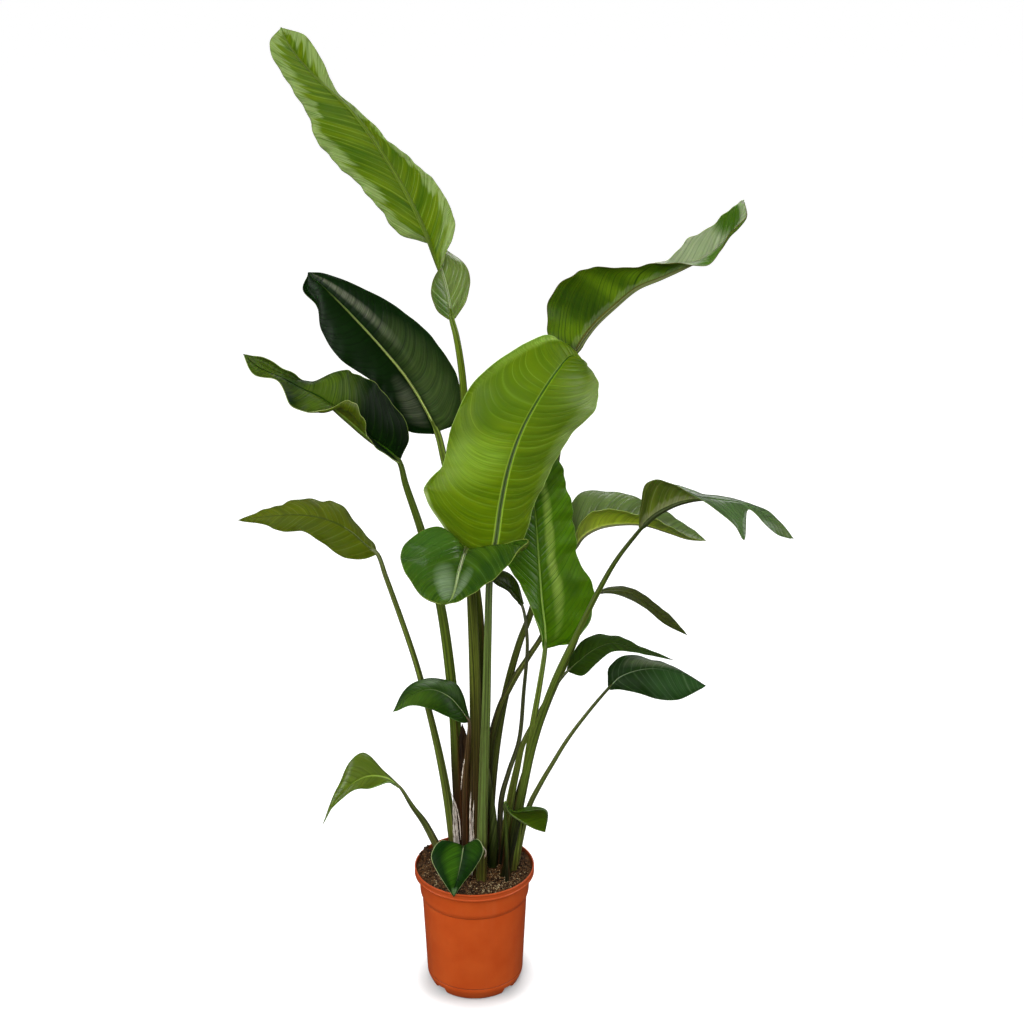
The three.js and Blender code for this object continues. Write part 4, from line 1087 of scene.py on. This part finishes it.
# %% Dry sheaths
SHEATHS = {
    "left": dict(base=[-30, 3, 205], tip=[-37, 3, 352],
                 sections=[[[-36, 6, 235], [-31, 2, 235], [-25, 4, 235]],
                           [[-38, 8, 290], [-33, 4, 290], [-27, 5, 292]]]),
    "middle": dict(base=[-14, 8, 205], tip=[-19, 4, 500],
                   sections=[[[-24, 8.5, 240], [-14, 7, 240], [-4, 8, 240]],
                             [[-24, 9, 320], [-13, 7, 320], [-3, 8, 320]],
                             [[-26, 8, 400], [-15, 6, 400], [-5, 7, 400]],
                             [[-26, 7, 470], [-18, 5, 470], [-9, 5, 470]]]),
    "right": dict(base=[-6, -28, 205], tip=[-4, -31, 350],
                  sections=[[[-9, -26, 235], [-6, -28.5, 235], [-1.5, -28, 235]],
                            [[-8, -28, 290], [-5, -30, 290], [-1, -30, 290]]]),
}
PAPER_COLOURS = {"left": ("#ece4d6", "#3a2414"), "middle": ("#30200f", "#0f0804"),
                 "right": ("#e6dcd2", "#4a3018")}
SHEATH_ROWS, SHEATH_COLUMNS, SHEATH_SEED = 90, 15, 3.0
CRUMPLE, CRUMPLE_FRACTAL, SHEATH_ARCH = 0.9, (0.8, 2.0, 4), 0.8
FOLDS_ALONG, FOLDS_ACROSS = 0.09, 0.35
TORN_WIDTH, TORN_RANGE, TEARS = 0.86, 0.3, 0.35
SHEATH_HALF_THICKNESS, STRAND_HALF_THICKNESS = 0.18, 0.15


def make_sheath(name, sheath, material, seed):
    rib, left, right = blade_rails(sheath)
    t = np.linspace(0, 1, SHEATH_ROWS)
    centre, heading = rib.at(t), rib.along(t)
    across = np.linspace(-1, 1, SHEATH_COLUMNS)
    reach = np.where(across[None, :, None] < 0, (left.at(t) - centre)[:, None],
                     (right.at(t) - centre)[:, None])
    up = unit(np.cross(right.at(t) - left.at(t), heading))
    middle = centre[:, None] + reach * np.abs(across)[None, :, None]
    crumple = np.array([[noise.fractal(Vector((i * FOLDS_ALONG, j * FOLDS_ACROSS, seed)),
                                       *CRUMPLE_FRACTAL)
                         for j in range(len(across))] for i in range(len(t))])
    torn = np.array([TORN_WIDTH + TORN_RANGE * noise.noise(Vector((i * TEARS, seed, 0.0)))
                     for i in range(len(t))])
    middle = centre[:, None] + (middle - centre[:, None]) * torn[:, None, None]
    lift = CRUMPLE * crumple + SHEATH_ARCH * (1 - across ** 2)[None, :]
    middle += up[:, None] * lift[..., None]
    mm = t * np.linalg.norm(centre[-1] - centre[0])
    paper_piece(f"sheath_paper_{name}", middle, SHEATH_HALF_THICKNESS, across, mm, material,
                [f"dry_sheath_{name}"])


for number, (sheath_name, sheath) in enumerate(SHEATHS.items()):
    paper = dry_paper(f"dry_sheath_{sheath_name}", *PAPER_COLOURS[sheath_name])
    make_sheath(sheath_name, sheath, paper, SHEATH_SEED + number)
print("sheaths made:", len(SHEATHS))

# %% Papery strands that have split off the sheaths: course and width
STRANDS = [
    ([[-12, -26, 462], [-18, -25, 425], [-21.5, -25, 387]], 2.2),
    ([[-4.4, -25, 383], [-6.4, -25, 338], [-6.8, -25, 293]], 2.4),
    ([[0.8, -31, 371], [-1.1, -32, 332], [0.3, -32, 289]], 1.8),
    ([[-41, -3, 375], [-31, -4, 345], [-26, -5, 321], [-23, -7, 279]], 2.0),
    ([[-35, 1, 353], [-30, -1, 315], [-30, -3, 273]], 1.8),
    ([[16, -50, 292], [21, -52, 282], [18, -50, 267]], 3.0),
]
STRAND_ROWS, STRAND_COLUMNS, STRAND_SEED = 40, 5, 9.0
STRAND_TAPER, NARROWEST_END = 0.15, 0.15
RAGGED_WIDTH, RAGGED_RANGE, RAGS = 0.7, 0.6, 0.4


def make_strand(name, points, width, material, seed):
    path = Rail(points)
    t = np.linspace(0, 1, STRAND_ROWS)
    ragged = np.array([RAGGED_WIDTH + RAGGED_RANGE * noise.noise(Vector((i * RAGS, seed, 0.5)))
                       for i in range(len(t))])
    ends = np.clip(np.minimum(t, 1 - t) / STRAND_TAPER, NARROWEST_END, 1)
    half = 0.5 * width * ragged * ends
    across = np.linspace(-1, 1, STRAND_COLUMNS)
    middle = path.at(t)[:, None] + half[:, None, None] * across[None, :, None] * [1.0, 0, 0]
    middle[..., 1] += 0.5 * np.abs(across)
    paper_piece(name, middle, STRAND_HALF_THICKNESS, across, 100 * t, material)


strand_paper = dry_paper("dry_strand", "#efe8dc", "#8c745c")
for number, (points, width) in enumerate(STRANDS):
    make_strand(f"strand_{number}", points, width, strand_paper, STRAND_SEED + number)
print("strands made:", len(STRANDS))

# %% [markdown]
# ## The pot
#
# A growing pot is injection-moulded from terracotta-coloured polypropylene: smooth,
# satin, a little waxy to the eye, with an IOR of 1.49. Its section is turned round the
# axis. Every corner of the section is rounded first, because moulded edges are never
# sharp and a rounded edge is what draws the bright line along the lip. A fine line is
# pressed into the wall under the collar and above the foot. Those lines and the line
# under the lip are darkened with painted shade, and the inside of the lip is painted a
# darker brown. The four drainage notches are cut with a Boolean, as the mould's inserts
# leave them.

# %% Moulded polypropylene
CLOUD_OF_COLOUR, SPECKLES, SCUFFS = 22.0, 900.0, (60.0, 60.0, 3.0)
SHADE_LINE_HALF_WIDTH, SHADE_LINE_CORE = 1.5, 0.4
SHADE_LINE_HEIGHTS = (SEAM_HEIGHT, STEP_HEIGHT + 1, LIP_UNDERSIDE - 0.6)
PLASTIC_IOR, RED_LIGHT = 1.49, (1.0, 0.35, 0.12)


def moulded_plastic():
    material, tree = new_material("moulded_polypropylene")
    place = add(tree, "TexCoord", out="Object")
    height = add(tree, "SeparateXYZ", {0: place}, out="Z")
    cloud = add(tree, "TexNoise", {"Vector": place, "Scale": CLOUD_OF_COLOUR, "Detail": 4.0})
    speckle = add(tree, "TexNoise", {"Vector": place, "Scale": SPECKLES, "Detail": 2.0})
    upright = add(tree, "VectorMath", {0: place, 1: SCUFFS}, operation="MULTIPLY")
    scuffs = add(tree, "TexNoise", {"Vector": upright, "Scale": 1.0, "Detail": 3.0})
    tone = lay(tree, "#b84918", "#c2531f", cloud, 0.3, 0.7)
    tone = lay(tree, tone, "#c9805a", scuffs, 0.55, 0.8, 0.06)
    lip_start, lip_end = (LIP_UNDERSIDE - 0.5) * MM, LIP_UNDERSIDE * MM
    tone = lay(tree, tone, "#a0441f", height, lip_start, lip_end, 0.6)
    # Painted shade: a dark line in the seam above the foot, under the collar and under the lip.
    for line in SHADE_LINE_HEIGHTS:
        off = add(tree, "Math", {0: height, 1: -line * MM}, operation="ADD")
        off = add(tree, "Math", {0: off}, operation="ABSOLUTE")
        tone = lay(tree, tone, "#5c2410", off, SHADE_LINE_HALF_WIDTH * MM, SHADE_LINE_CORE * MM, 0.6)
    level = add(tree, "VectorMath", {0: place, 1: (1, 1, 0)}, operation="MULTIPLY")
    radius = add(tree, "VectorMath", {0: level}, operation="LENGTH")
    lip = add(tree, "MapRange", {0: height, 1: lip_start, 2: lip_end})
    # The inside of the lip is painted a darker brown.
    tone = lay(tree, tone, "#5c3018", radius, (RIM_RADIUS - 0.6 * LIP_WALL) * MM,
               (RIM_RADIUS - LIP_WALL) * MM, 0.75, lip)
    rough = add(tree, "MapRange", {0: scuffs, 1: 0.3, 2: 0.7, 3: 0.36, 4: 0.5})
    surface(tree, {"Base Color": tone, "Roughness": rough, "IOR": PLASTIC_IOR,
                   "Specular IOR Level": 0.3, "Subsurface Weight": 0.08,
                   "Subsurface Radius": RED_LIGHT, "Subsurface Scale": 0.002},
            speckle, bump=0.12, depth=0.0002)
    return material


# %% Turn a rounded section round the axis
POT_STEPS, CORNER_STEPS = 180, 4


def wall_radius(z):
    rise = (z - CORNER_HEIGHT) / (STEP_HEIGHT - CORNER_HEIGHT)
    return CORNER_RADIUS + rise * (STEP_RADIUS - CORNER_RADIUS)


def rounded(section):
    """Replaces each corner, given as (radius, height, rounding), by a short curve."""
    line = []
    for k, (r, z, soft) in enumerate(section):
        here = np.array([r, z], float)
        if soft == 0 or k in (0, len(section) - 1):
            line.append(here)
            continue
        before = np.array(section[k - 1][:2], float) - here
        after = np.array(section[k + 1][:2], float) - here
        cut = min(soft, np.linalg.norm(before) / 2.1, np.linalg.norm(after) / 2.1)
        start, end = here + unit(before) * cut, here + unit(after) * cut
        for step in range(CORNER_STEPS + 1):
            w = step / CORNER_STEPS
            line.append(start * (1 - w) ** 2 + here * 2 * w * (1 - w) + end * w ** 2)
    return np.array(line)


def turned(line, steps):
    """Points and faces of a section that starts and ends on the axis."""
    inner = line[1:-1]
    angle = np.arange(steps) / steps * 2 * math.pi
    ring = np.stack([inner[:, None, 0] * np.sin(angle), -inner[:, None, 0] * np.cos(angle),
                     np.repeat(inner[:, 1:], steps, 1)], -1)
    points = np.vstack([ring.reshape(-1, 3), [[0, 0, line[0, 1]], [0, 0, line[-1, 1]]]])
    index, beside, faces = ring_walls(len(inner), steps)
    start, end = len(points) - 2, len(points) - 1
    faces += [[start, beside[0, k], index[0, k]] for k in range(steps)]
    faces += [[end, index[-1, k], beside[-1, k]] for k in range(steps)]
    return points, faces


# %% Make the pot
LINE_DEPTH, LINE_HALF = 0.7, 0.9


def pot_section():
    """From the axis out under the floor, up the outside, over the lip and down inside."""
    return [
        (0, 0, 0), (CENTRE_PAD_RADIUS, 0, 1), (CENTRE_PAD_RADIUS + 1, FLOOR_UNDERSIDE, 2),
        (CORNER_RADIUS - 2 * FOOT_WALL, FLOOR_UNDERSIDE, 2),
        (CORNER_RADIUS - 3 * FOOT_WALL, FLOOR_UNDERSIDE / 2, 4),
        (FOOT_RADIUS - FOOT_WALL, 0, 0.8), (FOOT_RADIUS, 0, 1.5), (FOOT_RADIUS + 4, 2.5, 4),
        (CORNER_RADIUS - 4, 10, 8), (CORNER_RADIUS - 0.4, CORNER_HEIGHT - 4, 6),
        (wall_radius(SEAM_HEIGHT - LINE_HALF), SEAM_HEIGHT - LINE_HALF, 0.3),
        (wall_radius(SEAM_HEIGHT) - LINE_DEPTH, SEAM_HEIGHT, 0.3),
        (wall_radius(SEAM_HEIGHT + LINE_HALF), SEAM_HEIGHT + LINE_HALF, 0.3),
        (STEP_RADIUS, STEP_HEIGHT, 0.4), (STEP_RADIUS - 0.3, STEP_HEIGHT + 0.8, 0.4),
        (STEP_RADIUS + 1.2, STEP_HEIGHT + 1.6, 0.5),
        (STEP_RADIUS + STEP_OUT, STEP_HEIGHT + STEP_RISE, 5), (NECK_RADIUS, LIP_UNDERSIDE, 1.5),
        (RIM_RADIUS - 0.8, LIP_UNDERSIDE, 0.6), (RIM_RADIUS, LIP_UNDERSIDE + 1, 0.8),
        (RIM_RADIUS - 0.1, LIP_UNDERSIDE + 3, 0.8), (RIM_RADIUS - 1, LIP_UNDERSIDE + 3.8, 0.8),
        (RIM_RADIUS - 0.8, POT_HEIGHT - 3.4, 1), (RIM_RADIUS, POT_HEIGHT - 2.6, 1),
        (RIM_RADIUS - 0.2, POT_HEIGHT, 1.6), (RIM_RADIUS - LIP_WALL, POT_HEIGHT, 1.4),
        (RIM_RADIUS - LIP_WALL - 0.4, LIP_UNDERSIDE + LIP_WALL, 2),
        (RIM_RADIUS - LIP_LEDGE, LIP_UNDERSIDE + WALL, 1),
        (NECK_RADIUS - WALL, LIP_UNDERSIDE + WALL, 1.5),
        (STEP_RADIUS + STEP_OUT - WALL, STEP_HEIGHT + STEP_RISE, 3),
        (wall_radius(STEP_HEIGHT) - WALL, STEP_HEIGHT, 2),
        (wall_radius(CORNER_HEIGHT) - WALL, CORNER_HEIGHT, 3),
        (CORNER_RADIUS - 2 * FOOT_WALL, FLOOR_TOP, 3), (0, FLOOR_TOP, 0),
    ]


def make_pot():
    points, faces = turned(rounded(pot_section()), POT_STEPS)
    made = piece("pot_moulding", points, faces, [moulded_plastic()], ["pot"],
                 sharp=40)
    cutters = []
    for degrees in NOTCH_ANGLES:
        bpy.ops.mesh.primitive_cube_add(size=MM)
        cutter = bpy.context.object
        cutter.scale = (NOTCH_REACH, NOTCH_WIDTH, 2 * NOTCH_HEIGHT)
        turn = math.radians(degrees - 90)
        cutter.location = (FOOT_RADIUS * MM * math.cos(turn), FOOT_RADIUS * MM * math.sin(turn), 0)
        cutter.rotation_euler = (0, 0, turn)
        cut = made.modifiers.new("drainage_notch", "BOOLEAN")
        cut.object = cutter
        cut.solver = "EXACT"
        cutters.append(cutter)
    graph = bpy.context.evaluated_depsgraph_get()
    notched = bpy.data.meshes.new_from_object(made.evaluated_get(graph))
    made.modifiers.clear()
    made.data = notched
    for cutter in cutters:
        bpy.data.objects.remove(cutter)
    print("pot: faces", len(notched.polygons))


make_pot()

# %% [markdown]
# ## The soil
#
# Potting peat is dark, moist and crumbly, with lighter bits of bark, sand and pale
# grit lying on it. A bump map alone would leave its edge against the pot a clean line,
# so the surface itself is uneven, and a few thousand small lumps lie on it. Each lump
# is a rough pebble of twelve points, squashed and turned at random from a fixed
# seed. Its roughness is near one, because peat has no gloss at all.

# %% Peat, bark and grit
def crumb_material(name, dark, light, scale, roughness=0.95):
    material, tree = new_material(name)
    place = add(tree, "TexCoord", out="Object")
    tones = add(tree, "TexNoise", {"Vector": place, "Scale": scale, "Detail": 6.0,
                                   "Roughness": 0.7})
    grain = add(tree, "TexNoise", {"Vector": place, "Scale": scale * 5, "Detail": 4.0})
    tone = lay(tree, dark, light, tones, 0.4, 0.64)
    surface(tree, {"Base Color": tone, "Roughness": roughness, "IOR": 1.4}, grain, bump=0.8,
            depth=0.0008)
    return material


peat = crumb_material("moist_peat", "#0b0502", "#6a4a2c", 300.0)
bark = crumb_material("bark_crumbs", "#3a2514", "#8a6844", 200.0)
grit = crumb_material("pale_grit", "#7c6646", "#c8b890", 150.0, 0.85)
black_peat = crumb_material("peat_crumbs", "#140a05", "#4a3420", 250.0)

# %% The soil's body and its uneven top
SOIL_RING_STEP, SOIL_STEPS = 1.3, 260
LUMP_HEIGHT, LUMPS_PER_MM, LUMP_FRACTAL = 2.2, 0.11, (0.9, 2.1, 5)
RIM_BANK, BANK_START, BANK_WIDTH = 2.5, 88, 12


def soil_height(x, y):
    ripple = np.sin(x * 0.13 + 1) * np.cos(y * 0.17) + np.sin(x * 0.05 - y * 0.09)
    away = np.hypot(x - CLOD_X, y - CLOD_Y) / CLOD_SPREAD
    return SOIL_TOP + SOIL_BUMP * ripple + CLOD_HEIGHT * np.exp(-away ** 2)


def rough_height(x, y):
    """The soil's height with lumps a few millimetres across, and banked up at the rim."""
    lumps = [LUMP_HEIGHT * noise.fractal(Vector((px * LUMPS_PER_MM, py * LUMPS_PER_MM, 0.0)),
                                         *LUMP_FRACTAL)
             for px, py in zip(np.ravel(x), np.ravel(y))]
    bank = RIM_BANK * np.clip((np.hypot(x, y) - BANK_START) / BANK_WIDTH, 0, 1)
    return soil_height(x, y) + np.reshape(lumps, np.shape(x)) + bank


def make_soil():
    ledge = LIP_UNDERSIDE + WALL + GAP
    edge = RIM_RADIUS - LIP_LEDGE - GAP
    below = [(0, FLOOR_TOP + GAP), (CORNER_RADIUS - 2 * FOOT_WALL - GAP, FLOOR_TOP + GAP),
             (wall_radius(CORNER_HEIGHT) - WALL - GAP, CORNER_HEIGHT),
             (wall_radius(STEP_HEIGHT) - WALL - GAP, STEP_HEIGHT),
             (STEP_RADIUS + STEP_OUT - WALL - 2 * GAP, STEP_HEIGHT + STEP_RISE),
             (NECK_RADIUS - WALL - 2 * GAP, ledge), (edge, ledge)]
    top = [(radius, SOIL_TOP) for radius in np.arange(edge, 0, -SOIL_RING_STEP)]
    points, faces = turned(np.array(below + top + [(0, SOIL_TOP)]), SOIL_STEPS)
    on_top = points[:, 2] > SOIL_TOP - 0.01
    points[on_top, 2] = rough_height(points[on_top, 0], points[on_top, 1])
    piece("soil_peat", points, faces, [peat], ["soil"], sharp=180)
    print("soil: faces", len(faces))


make_soil()

# %% Loose crumbs on top
PEAT_RADIUS, SUNK_SHARE = 99, 0.35
STALK_FEET = [(leaf["foot"], leaf["radius"][0]) for leaf in LEAVES.values()]


def pebble():
    ball = bmesh.new()
    bmesh.ops.create_icosphere(ball, subdivisions=1, radius=1.0)
    points = np.array([v.co[:] for v in ball.verts])
    faces = np.array([[v.index for v in f.verts] for f in ball.faces])
    ball.free()
    return points, faces


def scatter(name, count, sizes, squash, material, seed, place=None, limit=PEAT_RADIUS):
    rng = np.random.default_rng(seed)
    ball, ball_faces = pebble()
    points, faces = [], []
    while len(points) < count:
        radius, angle = PEAT_RADIUS * math.sqrt(rng.uniform()), rng.uniform(0, 2 * math.pi)
        x, y = radius * math.cos(angle), radius * math.sin(angle)
        if place:
            x, y = place(rng)
        in_a_stalk = any(math.hypot(x - fx, y - fy) < r for (fx, fy), r in STALK_FEET)
        if in_a_stalk or math.hypot(x, y) > limit:
            continue
        size = rng.uniform(*sizes) * rng.uniform(0.6, 1.0)
        scale = size * np.array([1, rng.uniform(0.5, 1), rng.uniform(*squash)])
        turn, _ = np.linalg.qr(rng.normal(size=(3, 3)))
        lump = ball * (1 + rng.uniform(-0.25, 0.25, (len(ball), 1))) * scale
        lump = lump @ turn.T
        ground = POT_HEIGHT if math.hypot(x, y) > PEAT_RADIUS else 0
        z = max(soil_height(x, y), ground) + SUNK_SHARE * size
        faces.append(ball_faces + len(points) * len(ball))
        points.append(lump + [x, y, z])
    piece(name, np.vstack(points), np.vstack(faces).tolist(), [material], sharp=180)
    print(f"{name}: {count} lumps")


def on_clod(rng):
    return CLOD_X + rng.normal(0, 8), CLOD_Y + rng.normal(0, 9)


def by_front_rim(rng):
    angle, radius = math.radians(rng.normal(-62, 14)), rng.normal(78, 7)
    return radius * math.cos(angle), radius * math.sin(angle)


scatter("crumbs_peat", 1500, (1.0, 3.4), (0.5, 0.9), black_peat, 11)
scatter("crumbs_bark", 1700, (0.8, 2.4), (0.3, 0.8), bark, 12)
scatter("crumbs_grit", 1500, (0.5, 1.4), (0.6, 1.0), grit, 13)
scatter("crumbs_clod", 200, (1.5, 4.0), (0.5, 0.9), black_peat, 14, on_clod, RIM_RADIUS - 1)
scatter("crumbs_sand", 240, (0.6, 1.4), (0.6, 1.0), grit, 15, by_front_rim)

# %% [markdown]
# ## Stage, light and camera
#
# The plant stands on white paper in a pale grey room. The paper widens away from the
# camera, ends in a soft edge and burns out to plain white, all but a soft grey shade
# round the foot of the pot. That shade is partly cast by the pot and partly painted,
# as the floor's glow fades close to the pot. Paper that is lit so brightly would also
# light the leaves from below, so this floor glows by itself and sends no light to the
# plant.
#
# The lights are wide and soft. The front softbox and the scrim overhead aren't mirrored,
# so that the waxy leaves keep their green. The camera is where the photographer stood:
# 2.9 m in front of the pot, a little above the plant's top, looking down by 20 degrees.

# %% Floor
PAPER_FRONT, PAPER_HALF_WIDTH, PAPER_SPREAD, PAPER_FADE = -1.5, 0.75, 0.34, 0.5
GLOW_IN_PAINTED_SHADE, GLOW_FAR, PAINTED_SHADE_CORE, PAINTED_SHADE_EDGE = 0.08, 0.75, 0.072, 0.14
FLOOR_HALF_WIDTH, FLOOR_FRONT, FLOOR_BACK = 20.0, -8, 45.0


def matt_floor():
    material, tree = new_material("matt_white_floor")
    place = add(tree, "TexCoord", out="Object")
    x, y = (add(tree, "SeparateXYZ", {0: place}, out=axis) for axis in "XY")
    behind = add(tree, "Math", {0: y, 1: -PAPER_FRONT}, operation="ADD")
    aside = add(tree, "Math", {0: x}, operation="ABSOLUTE")
    edge = add(tree, "Math", {0: behind, 1: PAPER_SPREAD, 2: PAPER_HALF_WIDTH},
               operation="MULTIPLY_ADD")
    within = add(tree, "Math", {0: edge, 1: aside}, operation="SUBTRACT")
    nearest = add(tree, "Math", {0: within, 1: behind}, operation="MINIMUM")
    paper = add(tree, "MapRange", {0: nearest, 1: -PAPER_FADE, 2: 0.0},
                interpolation_type="SMOOTHSTEP")
    tone = add(tree, "Mix", {0: paper, 6: "#9a9a9a", 7: "#c4c4c4"}, data_type="RGBA")
    # Painted shadow: close to the pot's foot the glow fades to almost nothing, which darkens a
    # ring of floor round it.
    away = add(tree, "VectorMath", {0: place}, operation="LENGTH")
    lift = add(tree, "MapRange", {0: away, 1: PAINTED_SHADE_CORE, 2: PAINTED_SHADE_EDGE, 3: GLOW_IN_PAINTED_SHADE, 4: GLOW_FAR},
               interpolation_type="SMOOTHSTEP")
    glow = add(tree, "Math", {0: paper, 1: lift}, operation="MULTIPLY")
    shader = add(tree, "BsdfPrincipled", {
        "Base Color": tone, "Roughness": 0.9, "Specular IOR Level": 0.1,
        "Emission Color": "#ffffff", "Emission Strength": glow})
    add(tree, "OutputMaterial", {"Surface": shader})
    return material


def studio_floor():
    mesh = bpy.data.meshes.new("studio_floor")
    half, front, back = FLOOR_HALF_WIDTH, FLOOR_FRONT, FLOOR_BACK
    mesh.from_pydata([(-half, front, 0), (half, front, 0), (half, back, 0), (-half, back, 0)],
                     [], [(0, 1, 2, 3)])
    mesh.materials.append(matt_floor())
    floor = link(bpy.data.objects.new("studio_floor", mesh))
    floor.visible_glossy = False
    floor.visible_diffuse = False


studio_floor()

# %% Lights
PLANT_MIDDLE = (0, 0, 0.9)
AIR_LIGHT = 0.06


def soft_light(name, kind, place, power, target=PLANT_MIDDLE, mirrored=True, **spread):
    lamp = bpy.data.lights.new(name, kind)
    lamp.energy = power
    for key, value in spread.items():
        setattr(lamp, key, value)
    holder = link(bpy.data.objects.new(name, lamp))
    holder.location = place
    holder.rotation_euler = (Vector(target) - Vector(place)).to_track_quat("-Z", "Y").to_euler()
    holder.visible_glossy = mirrored


soft_light("overhead_scrim", "SUN", (-0.3, -0.5, 2.2), 1.3, (0, 0, 0), False,
           angle=math.radians(70))
soft_light("softbox_front", "AREA", (-0.4, -3.4, 2.2), 136, mirrored=False, size=1.9)
soft_light("softbox_left", "AREA", (-2.6, -0.7, 1.7), 38, size=1.7)
soft_light("softbox_right", "AREA", (2.7, -0.6, 1.7), 44, size=1.7)
soft_light("softbox_back", "AREA", (0.5, 2.4, 3.0), 48, size=1.8)

world = bpy.data.worlds.new("studio_air")
world.use_nodes = True
world.node_tree.nodes["Background"].inputs["Color"].default_value = (1, 1, 1, 1)
world.node_tree.nodes["Background"].inputs["Strength"].default_value = AIR_LIGHT
bpy.context.scene.world = world
bpy.context.scene.view_settings.view_transform = "Standard"
print("lights:", len(bpy.data.lights))

# %% Camera
CAMERA_PLACE, CAMERA_PITCH = (0.066, -2.9, 1.95), 20.15
FRAME_PIXELS, FOCAL_PIXELS, SENSOR_WIDTH = 1024, 1888, 36.0
lens = bpy.data.cameras.new("camera")
lens.sensor_width = SENSOR_WIDTH
lens.lens = SENSOR_WIDTH * FOCAL_PIXELS / FRAME_PIXELS
lens.clip_end = 100
camera = link(bpy.data.objects.new("camera", lens))
camera.location = CAMERA_PLACE
camera.rotation_euler = (math.radians(90 - CAMERA_PITCH), 0, 0)
bpy.context.scene.camera = camera
print(f"lens: {lens.lens:.1f} mm")
